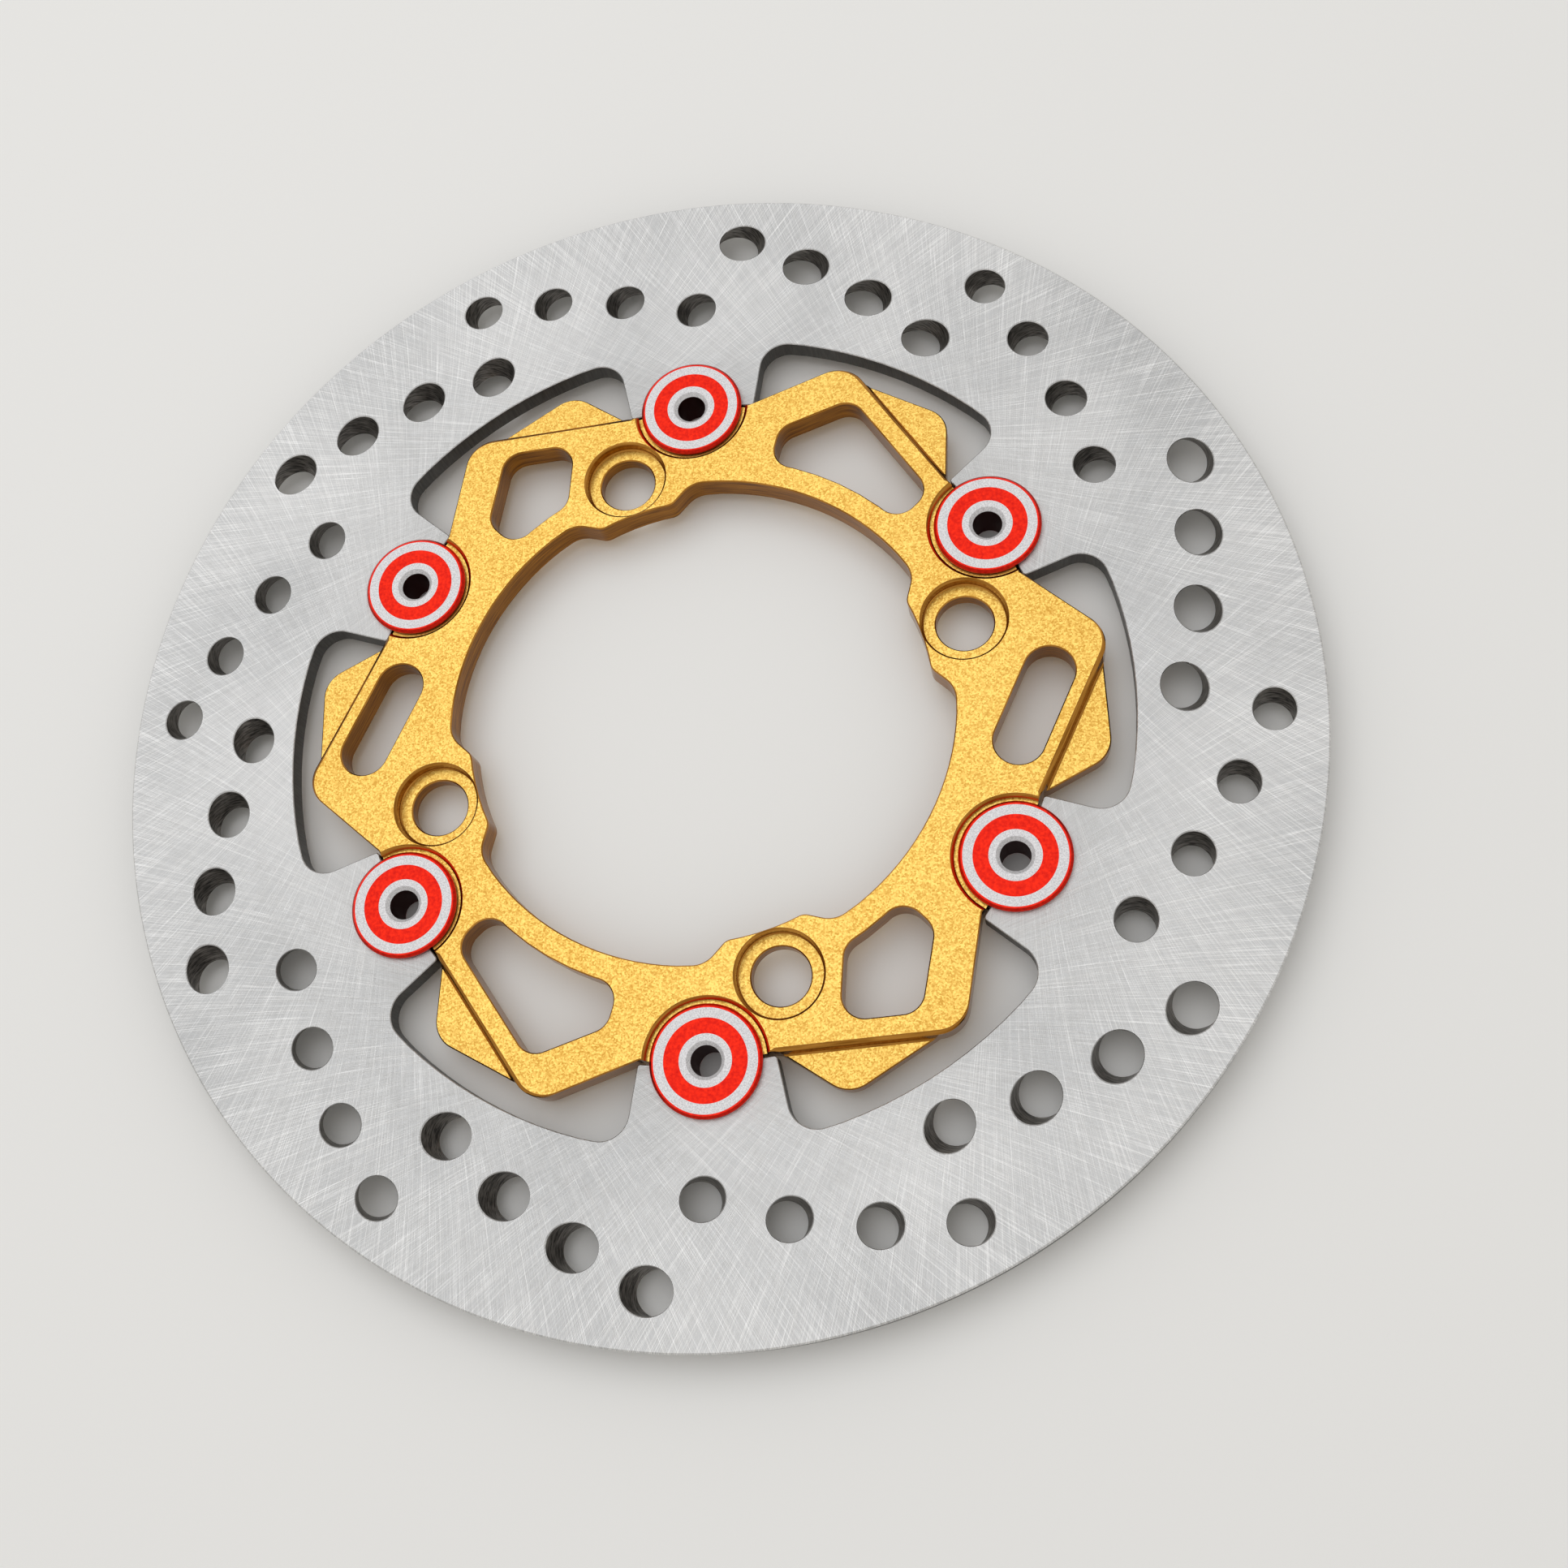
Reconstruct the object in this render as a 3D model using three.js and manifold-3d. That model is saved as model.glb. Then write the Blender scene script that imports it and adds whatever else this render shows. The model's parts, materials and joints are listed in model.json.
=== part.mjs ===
// Floating brake disc rotor for a motorcycle front wheel, in millimetres.
// +Z is the wheel axis, towards the outer face. The origin is on the axis, in the plane that the
// rear ends of the bobbins rest on.
//
// A ground steel braking band floats around an anodised aluminium carrier. Six flanged bobbins sit
// in round pockets, half cut in the band and half in the carrier. Behind the disc each bobbin
// carries a flat washer, a wave washer and a circlip, which hold it in with a little axial play.

import * as THREE from "three";
import { mergeVertices } from "three/addons/utils/BufferGeometryUtils.js";
import Module from "manifold-3d";

const wasm = await Module();
wasm.setup();

// ---- Driving dimensions ----
const DISC_RADIUS = 110;
const BAND_THICKNESS = 4;
const CARRIER_THICKNESS = 5.25;
const STANDOFF = 3.2; // from the rear end of a bobbin to the underside of the disc
const AXIAL_GAP = 0.3; // between the disc and the flange or washer on either side of it

const BOBBIN_COUNT = 6;
const BOBBIN_FIRST_ANGLE = 30;
const BOBBIN_CIRCLE = 63;
const SECTOR = 360 / BOBBIN_COUNT;

const CARRIER_BOTTOM = STANDOFF;
const CARRIER_TOP = CARRIER_BOTTOM + CARRIER_THICKNESS;
const BAND_BOTTOM = STANDOFF;
const BAND_TOP = BAND_BOTTOM + BAND_THICKNESS;
const LEDGE_TOP = CARRIER_TOP - 2;
const FLANGE_BOTTOM = BAND_TOP + AXIAL_GAP;
const FLANGE_TOP = CARRIER_TOP;

// Band: teeth reach in to the bobbins, and pockets run between the teeth.
const POCKET_RADIUS = 77.8;
const POCKET_FILLET = 5;
const TOOTH_TIP_RADIUS = 63.8;
const TOOTH_TIP_FILLET = 0.6;
const TOOTH_HALF_ANGLE = 10.85;
const BOBBIN_POCKET_RADIUS = 6.7;

// Band drilling: slanted holes in short spirals of four. Two kinds of spiral take turns, one
// leaning forwards and one backwards. Angles are counted from a bobbin's own angle.
const SPIRALS = [
  { bore: 8.0, slant: 29, lean: 79, holes: [[86.1, -32.2], [90.65, -23.0], [95.3, -14.3], [100.4, -6.3]] },
  { bore: 7.3, slant: 21, lean: -72, holes: [[85.65, -0.8], [90.5, 8.4], [95.5, 17.1], [100.9, 25.0]] },
];

// Carrier: straight edges are given by the direction of their normal, counted from the angle of
// the bobbin before the lobe, and by their distance from the axis.
const CARRIER_EDGE_RADIUS = 63.2;
const CARRIER_EDGE_START = 10.4;
const STEP_LINE = { normal: 2.5, distance: 62.8 };
const TRAILING_LINE = { normal: 78.2, distance: 55.5 };
const LEDGE_SIDE_LINE = { normal: -34.8, distance: 43.96 };
const LEDGE_FRONT_LINE = { normal: 30, distance: 72.7 };
const LEDGE_FILLET = 5.5;
const PEAK_FILLET = 5.7;
const RECESS_RADIUS = 10.5;

const WINDOW_FILLET = 4;
const WINDOW_INNER_RADIUS = 51.25;
const WINDOW_STEP_LINE = { normal: 2.5, distance: 58.85 };
const WINDOW_TRAILING_LINE = { normal: 77.5, distance: 48.4 };
const WINDOW_START_LINE = { normal: 101.5, distance: 0 };
const WINDOW_END_LINE = { normal: 133, distance: 0 };
const WINDOW_BOSS_LINE = { normal: 84, distance: 29.1 };
const SLOT_WIDTH = 9.1;
const SLOT_ENDS = [[57.9, 19.3], [63.2, 31.5]];

const BORE_RADIUS = 46.6;
const BORE_FILLET = 5;
const BOSS_COUNT = 4;
const BOSS_FIRST_ANGLE = 15;
const BOSS_INNER_RADIUS = 42.7;
const BOSS_HALF_ANGLE = 9.5;
const BOSS_ROOT_HALF_ANGLE = 14.8;
const BOSS_FILLET = 2.5;
const BOLT_CIRCLE = 50.75;
const BOLT_HOLE_RADIUS = 5.25;
const BOLT_SEAT_RADIUS = 7.65;
const BOLT_SEAT_DEPTH = 2.3;

// Bobbin and the pieces on it, on the bobbin's own axis.
const FLANGE_RADIUS = 9.8;
const FLANGE_CHAMFER = 0.35;
const SHANK_RADIUS = 6.5;
const SHANK_CHAMFER = 0.3;
const BOBBIN_BORE_RADIUS = 2.7;
const BORE_CHAMFER = 0.3;
const GROOVE_BOTTOM = 0.7;
const GROOVE_TOP = 1.75;
const GROOVE_RADIUS = 5.6;
const CIRCLIP_BOTTOM = 0.8;
const CIRCLIP_THICKNESS = 0.85;
const CIRCLIP_INNER_RADIUS = 5.75;
const CIRCLIP_OUTER_RADIUS = 7.9;
const CIRCLIP_EAR_RADIUS = 9.5;
const CIRCLIP_EAR_HOLE_RADIUS = 0.75;
const CIRCLIP_OPENING = 24; // half angle
const CIRCLIP_EAR_ANGLE = 17; // angle that each ear covers
const CIRCLIP_TURN = 47; // turn of each circlip's opening from the last one's
const WASHER_INNER_RADIUS = 6.7;
const FLAT_WASHER_RADIUS = 9.2;
const FLAT_WASHER_THICKNESS = 0.5;
const FLAT_WASHER_BOTTOM = BAND_BOTTOM - AXIAL_GAP - FLAT_WASHER_THICKNESS;
const WAVE_WASHER_RADIUS = 8.8;
const WAVE_WASHER_THICKNESS = 0.25;
const WAVE_HEIGHT = 0.18;
const WAVES = 3;
const WAVE_MIDDLE = (CIRCLIP_BOTTOM + CIRCLIP_THICKNESS + FLAT_WASHER_BOTTOM) / 2;

// Fineness of round shapes: sides of a whole circle, or steps of an arc.
const RIM_SIDES = 120;
const DRILL_SIDES = 16;
const ROUND_SIDES = 24;
const WAVE_SIDES = 36;
const BOBBIN_POCKET_STEPS = 12;
const BAND_POCKET_STEPS = 6;
const BORE_STEPS = 9;
const BOSS_STEPS = 3;
const SLOT_END_STEPS = 9;
const CIRCLIP_INNER_STEPS = 20;
const CIRCLIP_OUTER_STEPS = 18;
const EAR_STEPS = 2;
const EAR_HOLE_SIDES = 8;
const WINDOW_ARC_STEP = 5.5; // degrees
const FILLET_STEP = 18; // degrees
const SLACK = 1; // how far a cutting tool runs past a face

// ---- Materials ----
const steel = new THREE.MeshStandardMaterial({ color: 0xb9babb, roughness: 0.35, metalness: 1 });
const gold = new THREE.MeshStandardMaterial({ color: 0xd9a73c, roughness: 0.5, metalness: 0.9 });
const red = new THREE.MeshStandardMaterial({ color: 0xc8141c, roughness: 0.25, metalness: 0.9 });
const springSteel = new THREE.MeshStandardMaterial({ color: 0x3c3b3a, roughness: 0.4, metalness: 1 });
const washerSteel = new THREE.MeshStandardMaterial({ color: 0xa9a8a5, roughness: 0.3, metalness: 1 });

// ---- Plane geometry ----
const radians = THREE.MathUtils.degToRad;
const degrees = THREE.MathUtils.radToDeg;
const AXIS = new THREE.Vector2(0, 0);

function polar(radius, angle) {
  return new THREE.Vector2(radius * Math.cos(radians(angle)), radius * Math.sin(radians(angle)));
}

function meet(a, b) {
  const p = polar(1, a.normal);
  const q = polar(1, b.normal);
  const det = p.x * q.y - p.y * q.x;
  return new THREE.Vector2(
    (a.distance * q.y - b.distance * p.y) / det,
    (p.x * b.distance - q.x * a.distance) / det,
  );
}

function turned(line, angle) {
  return { normal: line.normal + angle, distance: line.distance };
}

// Points of an arc about a centre, both ends included.
function arc(centre, radius, from, to, steps) {
  const points = [];
  for (let i = 0; i <= steps; i += 1) {
    points.push(polar(radius, from + ((to - from) * i) / steps).add(centre));
  }
  return points;
}

// Points of a whole circle.
function circle(centre, radius, sides) {
  return arc(centre, radius, 0, 360, sides).slice(1);
}

// Closed outline through the corners, each rounded to its own fillet radius.
function rounded(corners) {
  const points = [];
  corners.forEach(({ at, fillet = 0 }, i) => {
    if (fillet === 0) {
      points.push(at);
      return;
    }
    const before = corners[(i + corners.length - 1) % corners.length].at;
    const after = corners[(i + 1) % corners.length].at;
    const back = before.clone().sub(at).normalize();
    const ahead = after.clone().sub(at).normalize();
    const half = Math.acos(back.dot(ahead)) / 2;
    const centre = back.clone().add(ahead).setLength(fillet / Math.sin(half)).add(at);
    const reach = fillet / Math.tan(half);
    const from = degrees(back.multiplyScalar(reach).add(at).sub(centre).angle());
    const to = degrees(ahead.multiplyScalar(reach).add(at).sub(centre).angle());
    const sweep = THREE.MathUtils.euclideanModulo(to - from + 180, 360) - 180;
    const steps = Math.max(1, Math.round(Math.abs(sweep) / FILLET_STEP));
    points.push(...arc(centre, fillet, from, from + sweep, steps));
  });
  return points;
}

// Angle, seen from a bobbin's centre, at which its pocket crosses a circle about the axis.
function pocketCrossing(edgeRadius) {
  const cosine =
    (edgeRadius ** 2 - BOBBIN_CIRCLE ** 2 - BOBBIN_POCKET_RADIUS ** 2) /
    (2 * BOBBIN_CIRCLE * BOBBIN_POCKET_RADIUS);
  return degrees(Math.acos(cosine));
}

// Wall of a bobbin's pocket, from one angle about its centre to another.
function bobbinPocket(angle, from, to) {
  const centre = polar(BOBBIN_CIRCLE, angle);
  return arc(centre, BOBBIN_POCKET_RADIUS, angle + from, angle + to, BOBBIN_POCKET_STEPS);
}

const stations = Array.from({ length: BOBBIN_COUNT }, (_, i) => BOBBIN_FIRST_ANGLE + i * SECTOR);
const bosses = Array.from({ length: BOSS_COUNT }, (_, i) => BOSS_FIRST_ANGLE + (i * 360) / BOSS_COUNT);

// ---- Solids ----
function plate(outline, bottom, top, holes = []) {
  const shape = new THREE.Shape(outline);
  shape.holes = holes.map((points) => new THREE.Path(points));
  const geometry = new THREE.ExtrudeGeometry(shape, { depth: top - bottom, bevelEnabled: false });
  return geometry.translate(0, 0, bottom);
}

function disc(radius, bottom, top, centre, sides = ROUND_SIDES) {
  const geometry = new THREE.CylinderGeometry(radius, radius, top - bottom, sides);
  return geometry.rotateX(Math.PI / 2).translate(centre.x, centre.y, (bottom + top) / 2);
}

function solid(geometry) {
  const bare = geometry.clone();
  bare.deleteAttribute("normal");
  bare.deleteAttribute("uv");
  const merged = mergeVertices(bare, 1e-4);
  const vertProperties = new Float32Array(merged.attributes.position.array);
  const triVerts = new Uint32Array(merged.index.array);
  return new wasm.Manifold(new wasm.Mesh({ numProp: 3, vertProperties, triVerts }));
}

function geometryOf(manifold) {
  const mesh = manifold.getMesh();
  const geometry = new THREE.BufferGeometry();
  geometry.setAttribute("position", new THREE.BufferAttribute(new Float32Array(mesh.vertProperties), 3));
  geometry.setIndex(new THREE.BufferAttribute(new Uint32Array(mesh.triVerts), 1));
  geometry.computeVertexNormals();
  return geometry;
}

function named(name, geometry, material) {
  const mesh = new THREE.Mesh(geometry, material);
  mesh.name = name;
  return mesh;
}

// ---- Braking band ----
function bandInnerOutline() {
  const cross = pocketCrossing(TOOTH_TIP_RADIUS);
  const corners = [];
  for (const angle of stations) {
    corners.push({ at: polar(TOOTH_TIP_RADIUS, angle - TOOTH_HALF_ANGLE), fillet: TOOTH_TIP_FILLET });
    for (const at of bobbinPocket(angle, -cross, cross)) {
      corners.push({ at });
    }
    corners.push({ at: polar(TOOTH_TIP_RADIUS, angle + TOOTH_HALF_ANGLE), fillet: TOOTH_TIP_FILLET });
    const from = angle + TOOTH_HALF_ANGLE;
    const to = angle + SECTOR - TOOTH_HALF_ANGLE;
    arc(AXIS, POCKET_RADIUS, from, to, BAND_POCKET_STEPS).forEach((at, i) => {
      corners.push({ at, fillet: i === 0 || i === BAND_POCKET_STEPS ? POCKET_FILLET : 0 });
    });
  }
  return rounded(corners);
}

function slantedDrill(spiral, [radius, offset], angle) {
  const place = polar(radius, angle + offset);
  const length = 2 * (BAND_THICKNESS / Math.cos(radians(spiral.slant)) + spiral.bore);
  const tool = new THREE.CylinderGeometry(spiral.bore / 2, spiral.bore / 2, length, DRILL_SIDES);
  tool.rotateX(Math.PI / 2);
  // The lower end leans towards the spiral's own direction.
  tool.rotateY(-radians(spiral.slant));
  tool.rotateZ(radians(angle + spiral.lean));
  return tool.translate(place.x, place.y, BAND_TOP);
}

function brakingBand() {
  const rim = circle(AXIS, DISC_RADIUS, RIM_SIDES);
  let band = solid(plate(rim, BAND_BOTTOM, BAND_TOP, [bandInnerOutline()]));
  for (const angle of stations) {
    for (const spiral of SPIRALS) {
      for (const hole of spiral.holes) {
        band = band.subtract(solid(slantedDrill(spiral, hole, angle)));
      }
    }
  }
  return geometryOf(band);
}

// ---- Carrier ----
function carrierOutline() {
  const cross = pocketCrossing(CARRIER_EDGE_RADIUS);
  const corners = [];
  for (const angle of stations) {
    const step = turned(STEP_LINE, angle);
    const trailing = turned(TRAILING_LINE, angle);
    const side = turned(LEDGE_SIDE_LINE, angle);
    const front = turned(LEDGE_FRONT_LINE, angle);
    const edgeEnd = trailing.normal - degrees(Math.acos(trailing.distance / CARRIER_EDGE_RADIUS));
    for (const at of bobbinPocket(angle, -cross, cross - 360)) {
      corners.push({ at });
    }
    corners.push({ at: polar(CARRIER_EDGE_RADIUS, angle + CARRIER_EDGE_START) });
    corners.push({ at: meet(step, side) });
    corners.push({ at: meet(side, front), fillet: LEDGE_FILLET });
    corners.push({ at: meet(front, step) });
    corners.push({ at: meet(step, trailing), fillet: PEAK_FILLET });
    corners.push({ at: polar(CARRIER_EDGE_RADIUS, edgeEnd) });
  }
  return rounded(corners);
}

function boreOutline() {
  const corners = [];
  for (const angle of bosses) {
    corners.push({ at: polar(BORE_RADIUS, angle - BOSS_ROOT_HALF_ANGLE), fillet: BORE_FILLET });
    const face = [angle - BOSS_HALF_ANGLE, angle + BOSS_HALF_ANGLE];
    arc(AXIS, BOSS_INNER_RADIUS, ...face, BOSS_STEPS).forEach((at, i) => {
      corners.push({ at, fillet: i === 0 || i === BOSS_STEPS ? BOSS_FILLET : 0 });
    });
    corners.push({ at: polar(BORE_RADIUS, angle + BOSS_ROOT_HALF_ANGLE), fillet: BORE_FILLET });
    const from = angle + BOSS_ROOT_HALF_ANGLE;
    const to = angle + 360 / BOSS_COUNT - BOSS_ROOT_HALF_ANGLE;
    const bore = arc(AXIS, BORE_RADIUS, from, to, BORE_STEPS).slice(1, -1);
    corners.push(...bore.map((at) => ({ at })));
  }
  return rounded(corners);
}

// Inner side of a window, on a circle about the axis, from one angle to another.
function windowInnerSide(from, to) {
  const steps = Math.round((to - from) / WINDOW_ARC_STEP);
  return arc(AXIS, WINDOW_INNER_RADIUS, from, to, steps).map((at, i) => ({
    at,
    fillet: i === 0 || i === steps ? WINDOW_FILLET : 0,
  }));
}

function triangularWindow(angle) {
  const [step, trailing, start, end] = [
    WINDOW_STEP_LINE,
    WINDOW_TRAILING_LINE,
    WINDOW_START_LINE,
    WINDOW_END_LINE,
  ].map((line) => turned(line, angle));
  const outer = [meet(start, step), meet(step, trailing), meet(trailing, end)];
  const inner = windowInnerSide(start.normal - 90, end.normal - 90).reverse();
  return rounded([...outer.map((at) => ({ at, fillet: WINDOW_FILLET })), ...inner]);
}

function trapezoidWindow(angle) {
  const [step, trailing, boss, end] = [
    WINDOW_STEP_LINE,
    WINDOW_TRAILING_LINE,
    WINDOW_BOSS_LINE,
    WINDOW_END_LINE,
  ].map((line) => turned(line, angle));
  const outer = [meet(boss, step), meet(step, trailing), meet(trailing, end)];
  const bossSide = boss.normal - degrees(Math.acos(boss.distance / WINDOW_INNER_RADIUS));
  const inner = windowInnerSide(bossSide, end.normal - 90).reverse();
  return rounded([...outer.map((at) => ({ at, fillet: WINDOW_FILLET })), ...inner]);
}

function slotWindow(angle) {
  const [inner, outer] = SLOT_ENDS.map(([radius, offset]) => polar(radius, angle + offset));
  const heading = degrees(outer.clone().sub(inner).angle());
  return [
    ...arc(inner, SLOT_WIDTH / 2, heading + 90, heading + 270, SLOT_END_STEPS),
    ...arc(outer, SLOT_WIDTH / 2, heading - 90, heading + 90, SLOT_END_STEPS),
  ];
}

// Everything above the ledge on the outer side of the step line.
function ledgeCutter(angle) {
  const step = turned(STEP_LINE, angle);
  const start = meet(step, { normal: angle + 90 + CARRIER_EDGE_START / 2, distance: 0 });
  const end = meet(step, turned(LEDGE_FRONT_LINE, angle));
  const clear = POCKET_RADIUS / start.length();
  const outline = [start, end, end.clone().multiplyScalar(clear), start.clone().multiplyScalar(clear)];
  return plate(outline, LEDGE_TOP, CARRIER_TOP + SLACK);
}

function rotorCarrier() {
  const windowKinds = [triangularWindow, trapezoidWindow, slotWindow];
  const windows = stations.map((angle, i) => windowKinds[i % windowKinds.length](angle));
  const blank = plate(carrierOutline(), CARRIER_BOTTOM, CARRIER_TOP, [boreOutline(), ...windows]);
  let carrier = solid(blank);
  for (const angle of stations) {
    const recess = disc(RECESS_RADIUS, BAND_TOP, CARRIER_TOP + SLACK, polar(BOBBIN_CIRCLE, angle));
    carrier = carrier.subtract(solid(ledgeCutter(angle))).subtract(solid(recess));
  }
  for (const angle of bosses) {
    const centre = polar(BOLT_CIRCLE, angle);
    const seatFloor = CARRIER_TOP - BOLT_SEAT_DEPTH;
    const hole = disc(BOLT_HOLE_RADIUS, CARRIER_BOTTOM - SLACK, CARRIER_TOP + SLACK, centre);
    const seat = disc(BOLT_SEAT_RADIUS, seatFloor, CARRIER_TOP + SLACK, centre);
    carrier = carrier.subtract(solid(hole)).subtract(solid(seat));
  }
  return geometryOf(carrier);
}

// ---- Bobbin and the pieces on it ----
// A profile of radius and height, turned about Z.
function turnedPiece(profile, sides) {
  const points = [...profile, profile[0]].map(([radius, height]) => new THREE.Vector2(radius, height));
  return new THREE.LatheGeometry(points, sides).rotateX(Math.PI / 2);
}

function ring(innerRadius, outerRadius, bottom, top, sides) {
  const profile = [
    [innerRadius, bottom],
    [outerRadius, bottom],
    [outerRadius, top],
    [innerRadius, top],
  ];
  return turnedPiece(profile, sides);
}

function bobbin() {
  const profile = [
    [BOBBIN_BORE_RADIUS, 0],
    [SHANK_RADIUS - SHANK_CHAMFER, 0],
    [SHANK_RADIUS, SHANK_CHAMFER],
    [SHANK_RADIUS, GROOVE_BOTTOM],
    [GROOVE_RADIUS, GROOVE_BOTTOM],
    [GROOVE_RADIUS, GROOVE_TOP],
    [SHANK_RADIUS, GROOVE_TOP],
    [SHANK_RADIUS, FLANGE_BOTTOM],
    [FLANGE_RADIUS, FLANGE_BOTTOM],
    [FLANGE_RADIUS, FLANGE_TOP - FLANGE_CHAMFER],
    [FLANGE_RADIUS - FLANGE_CHAMFER, FLANGE_TOP],
    [BOBBIN_BORE_RADIUS + BORE_CHAMFER, FLANGE_TOP],
    [BOBBIN_BORE_RADIUS, FLANGE_TOP - BORE_CHAMFER],
  ];
  return turnedPiece(profile, ROUND_SIDES);
}

function flatWasher() {
  const top = FLAT_WASHER_BOTTOM + FLAT_WASHER_THICKNESS;
  return ring(WASHER_INNER_RADIUS, FLAT_WASHER_RADIUS, FLAT_WASHER_BOTTOM, top, ROUND_SIDES);
}

// A flat ring, lifted and lowered by a sine wave round its circle.
function waveWasher() {
  const half = WAVE_WASHER_THICKNESS / 2;
  const low = WAVE_MIDDLE - half;
  const geometry = ring(WASHER_INNER_RADIUS, WAVE_WASHER_RADIUS, low, WAVE_MIDDLE + half, WAVE_SIDES);
  const { position } = geometry.attributes;
  for (let i = 0; i < position.count; i += 1) {
    const angle = Math.atan2(position.getY(i), position.getX(i));
    position.setZ(i, position.getZ(i) + WAVE_HEIGHT * Math.sin(WAVES * angle));
  }
  return geometry;
}

// An open ring with an ear at each end, and a hole in each ear for pliers.
function circlip() {
  const open = CIRCLIP_OPENING;
  const shoulder = open + CIRCLIP_EAR_ANGLE;
  const earMiddle = open + CIRCLIP_EAR_ANGLE / 2;
  const earHoleCircle = (CIRCLIP_INNER_RADIUS + CIRCLIP_EAR_RADIUS) / 2;
  const outline = [
    ...arc(AXIS, CIRCLIP_INNER_RADIUS, open, 360 - open, CIRCLIP_INNER_STEPS),
    ...arc(AXIS, CIRCLIP_EAR_RADIUS, 360 - open, 360 - shoulder, EAR_STEPS),
    ...arc(AXIS, CIRCLIP_OUTER_RADIUS, 360 - shoulder, shoulder, CIRCLIP_OUTER_STEPS),
    ...arc(AXIS, CIRCLIP_EAR_RADIUS, shoulder, open, EAR_STEPS),
  ];
  const holes = [earMiddle, -earMiddle].map((angle) =>
    circle(polar(earHoleCircle, angle), CIRCLIP_EAR_HOLE_RADIUS, EAR_HOLE_SIDES),
  );
  return plate(outline, CIRCLIP_BOTTOM, CIRCLIP_BOTTOM + CIRCLIP_THICKNESS, holes);
}

// ---- Assembly ----
const rotor = new THREE.Group();
rotor.add(named("braking_band", brakingBand(), steel));
rotor.add(named("rotor_carrier", rotorCarrier(), gold));

stations.forEach((angle, i) => {
  const station = new THREE.Group();
  const place = polar(BOBBIN_CIRCLE, angle);
  station.position.set(place.x, place.y, 0);
  station.rotation.z = radians(angle);
  const clip = named(`circlip_${i + 1}`, circlip(), springSteel);
  clip.rotation.z = radians(CIRCLIP_TURN * i);
  station.add(named(`bobbin_${i + 1}`, bobbin(), red));
  station.add(named(`flat_washer_${i + 1}`, flatWasher(), washerSteel));
  station.add(named(`wave_washer_${i + 1}`, waveWasher(), springSteel));
  station.add(clip);
  rotor.add(station);
});

export default rotor;
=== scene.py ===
"""Looks of a floating brake disc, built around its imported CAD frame.

Every piece of the disc is made again here with fine surfaces, machined edges and real finishes. Places
come from the frame. Outlines are worked out in millimetres, with angles in degrees, and a piece's mesh
is written in metres, where the frame is.
"""

import json
import math

import bmesh
import bpy
import numpy as np
from mathutils.geometry import tessellate_polygon
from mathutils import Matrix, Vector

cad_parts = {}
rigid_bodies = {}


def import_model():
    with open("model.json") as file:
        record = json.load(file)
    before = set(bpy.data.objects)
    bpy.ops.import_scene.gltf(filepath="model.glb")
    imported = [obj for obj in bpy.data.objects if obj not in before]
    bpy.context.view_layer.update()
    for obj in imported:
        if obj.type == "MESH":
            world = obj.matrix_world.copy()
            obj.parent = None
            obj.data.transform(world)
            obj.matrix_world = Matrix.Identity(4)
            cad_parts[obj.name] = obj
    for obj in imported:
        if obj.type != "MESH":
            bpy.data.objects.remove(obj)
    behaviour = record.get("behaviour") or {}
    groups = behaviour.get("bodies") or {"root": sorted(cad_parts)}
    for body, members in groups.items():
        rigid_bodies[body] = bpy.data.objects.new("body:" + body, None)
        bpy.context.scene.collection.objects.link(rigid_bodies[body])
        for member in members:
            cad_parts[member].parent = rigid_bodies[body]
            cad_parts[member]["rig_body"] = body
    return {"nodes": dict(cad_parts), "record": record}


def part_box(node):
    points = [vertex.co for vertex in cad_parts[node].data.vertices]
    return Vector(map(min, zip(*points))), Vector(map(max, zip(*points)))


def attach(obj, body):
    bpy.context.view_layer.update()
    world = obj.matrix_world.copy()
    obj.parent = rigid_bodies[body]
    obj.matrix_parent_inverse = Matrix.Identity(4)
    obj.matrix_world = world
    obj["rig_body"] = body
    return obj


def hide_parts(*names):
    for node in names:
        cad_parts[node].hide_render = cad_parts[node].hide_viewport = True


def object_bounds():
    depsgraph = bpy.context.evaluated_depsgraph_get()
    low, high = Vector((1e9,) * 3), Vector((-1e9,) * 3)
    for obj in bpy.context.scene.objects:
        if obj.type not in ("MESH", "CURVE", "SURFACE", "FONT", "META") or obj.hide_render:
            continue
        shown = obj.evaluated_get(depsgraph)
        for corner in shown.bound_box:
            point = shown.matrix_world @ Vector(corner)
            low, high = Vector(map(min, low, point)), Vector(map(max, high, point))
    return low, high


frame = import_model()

cad_low, cad_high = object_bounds()

bl_info = {
    "name": "Floating brake disc",
    "version": (1, 0, 0),
    "blender": (4, 5, 0),
    "location": "View3D > Sidebar > Brake disc",
    "description": "Builds the pieces of a floating brake disc with their machined edges and finishes",
    "category": "Add Mesh",
}

MM = 0.001  # a millimetre in Blender's metres
TAU = 2 * np.pi


# ---- Places taken from the frame, in millimetres ----
def levels(node):
    """Lowest and highest height of a CAD node."""
    low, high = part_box(node)
    return low.z / MM, high.z / MM


def centre_of(node):
    """Middle of a CAD node, seen along the wheel axis."""
    low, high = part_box(node)
    return np.array([(low.x + high.x) / 2, (low.y + high.y) / 2]) / MM


def mount_height(name):
    """Height of the flat face that a mount of the record lies on."""
    mount = next(m for m in frame["record"]["mounts"] if m["name"] == name)
    return mount["pos_m"][2] / MM


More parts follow.
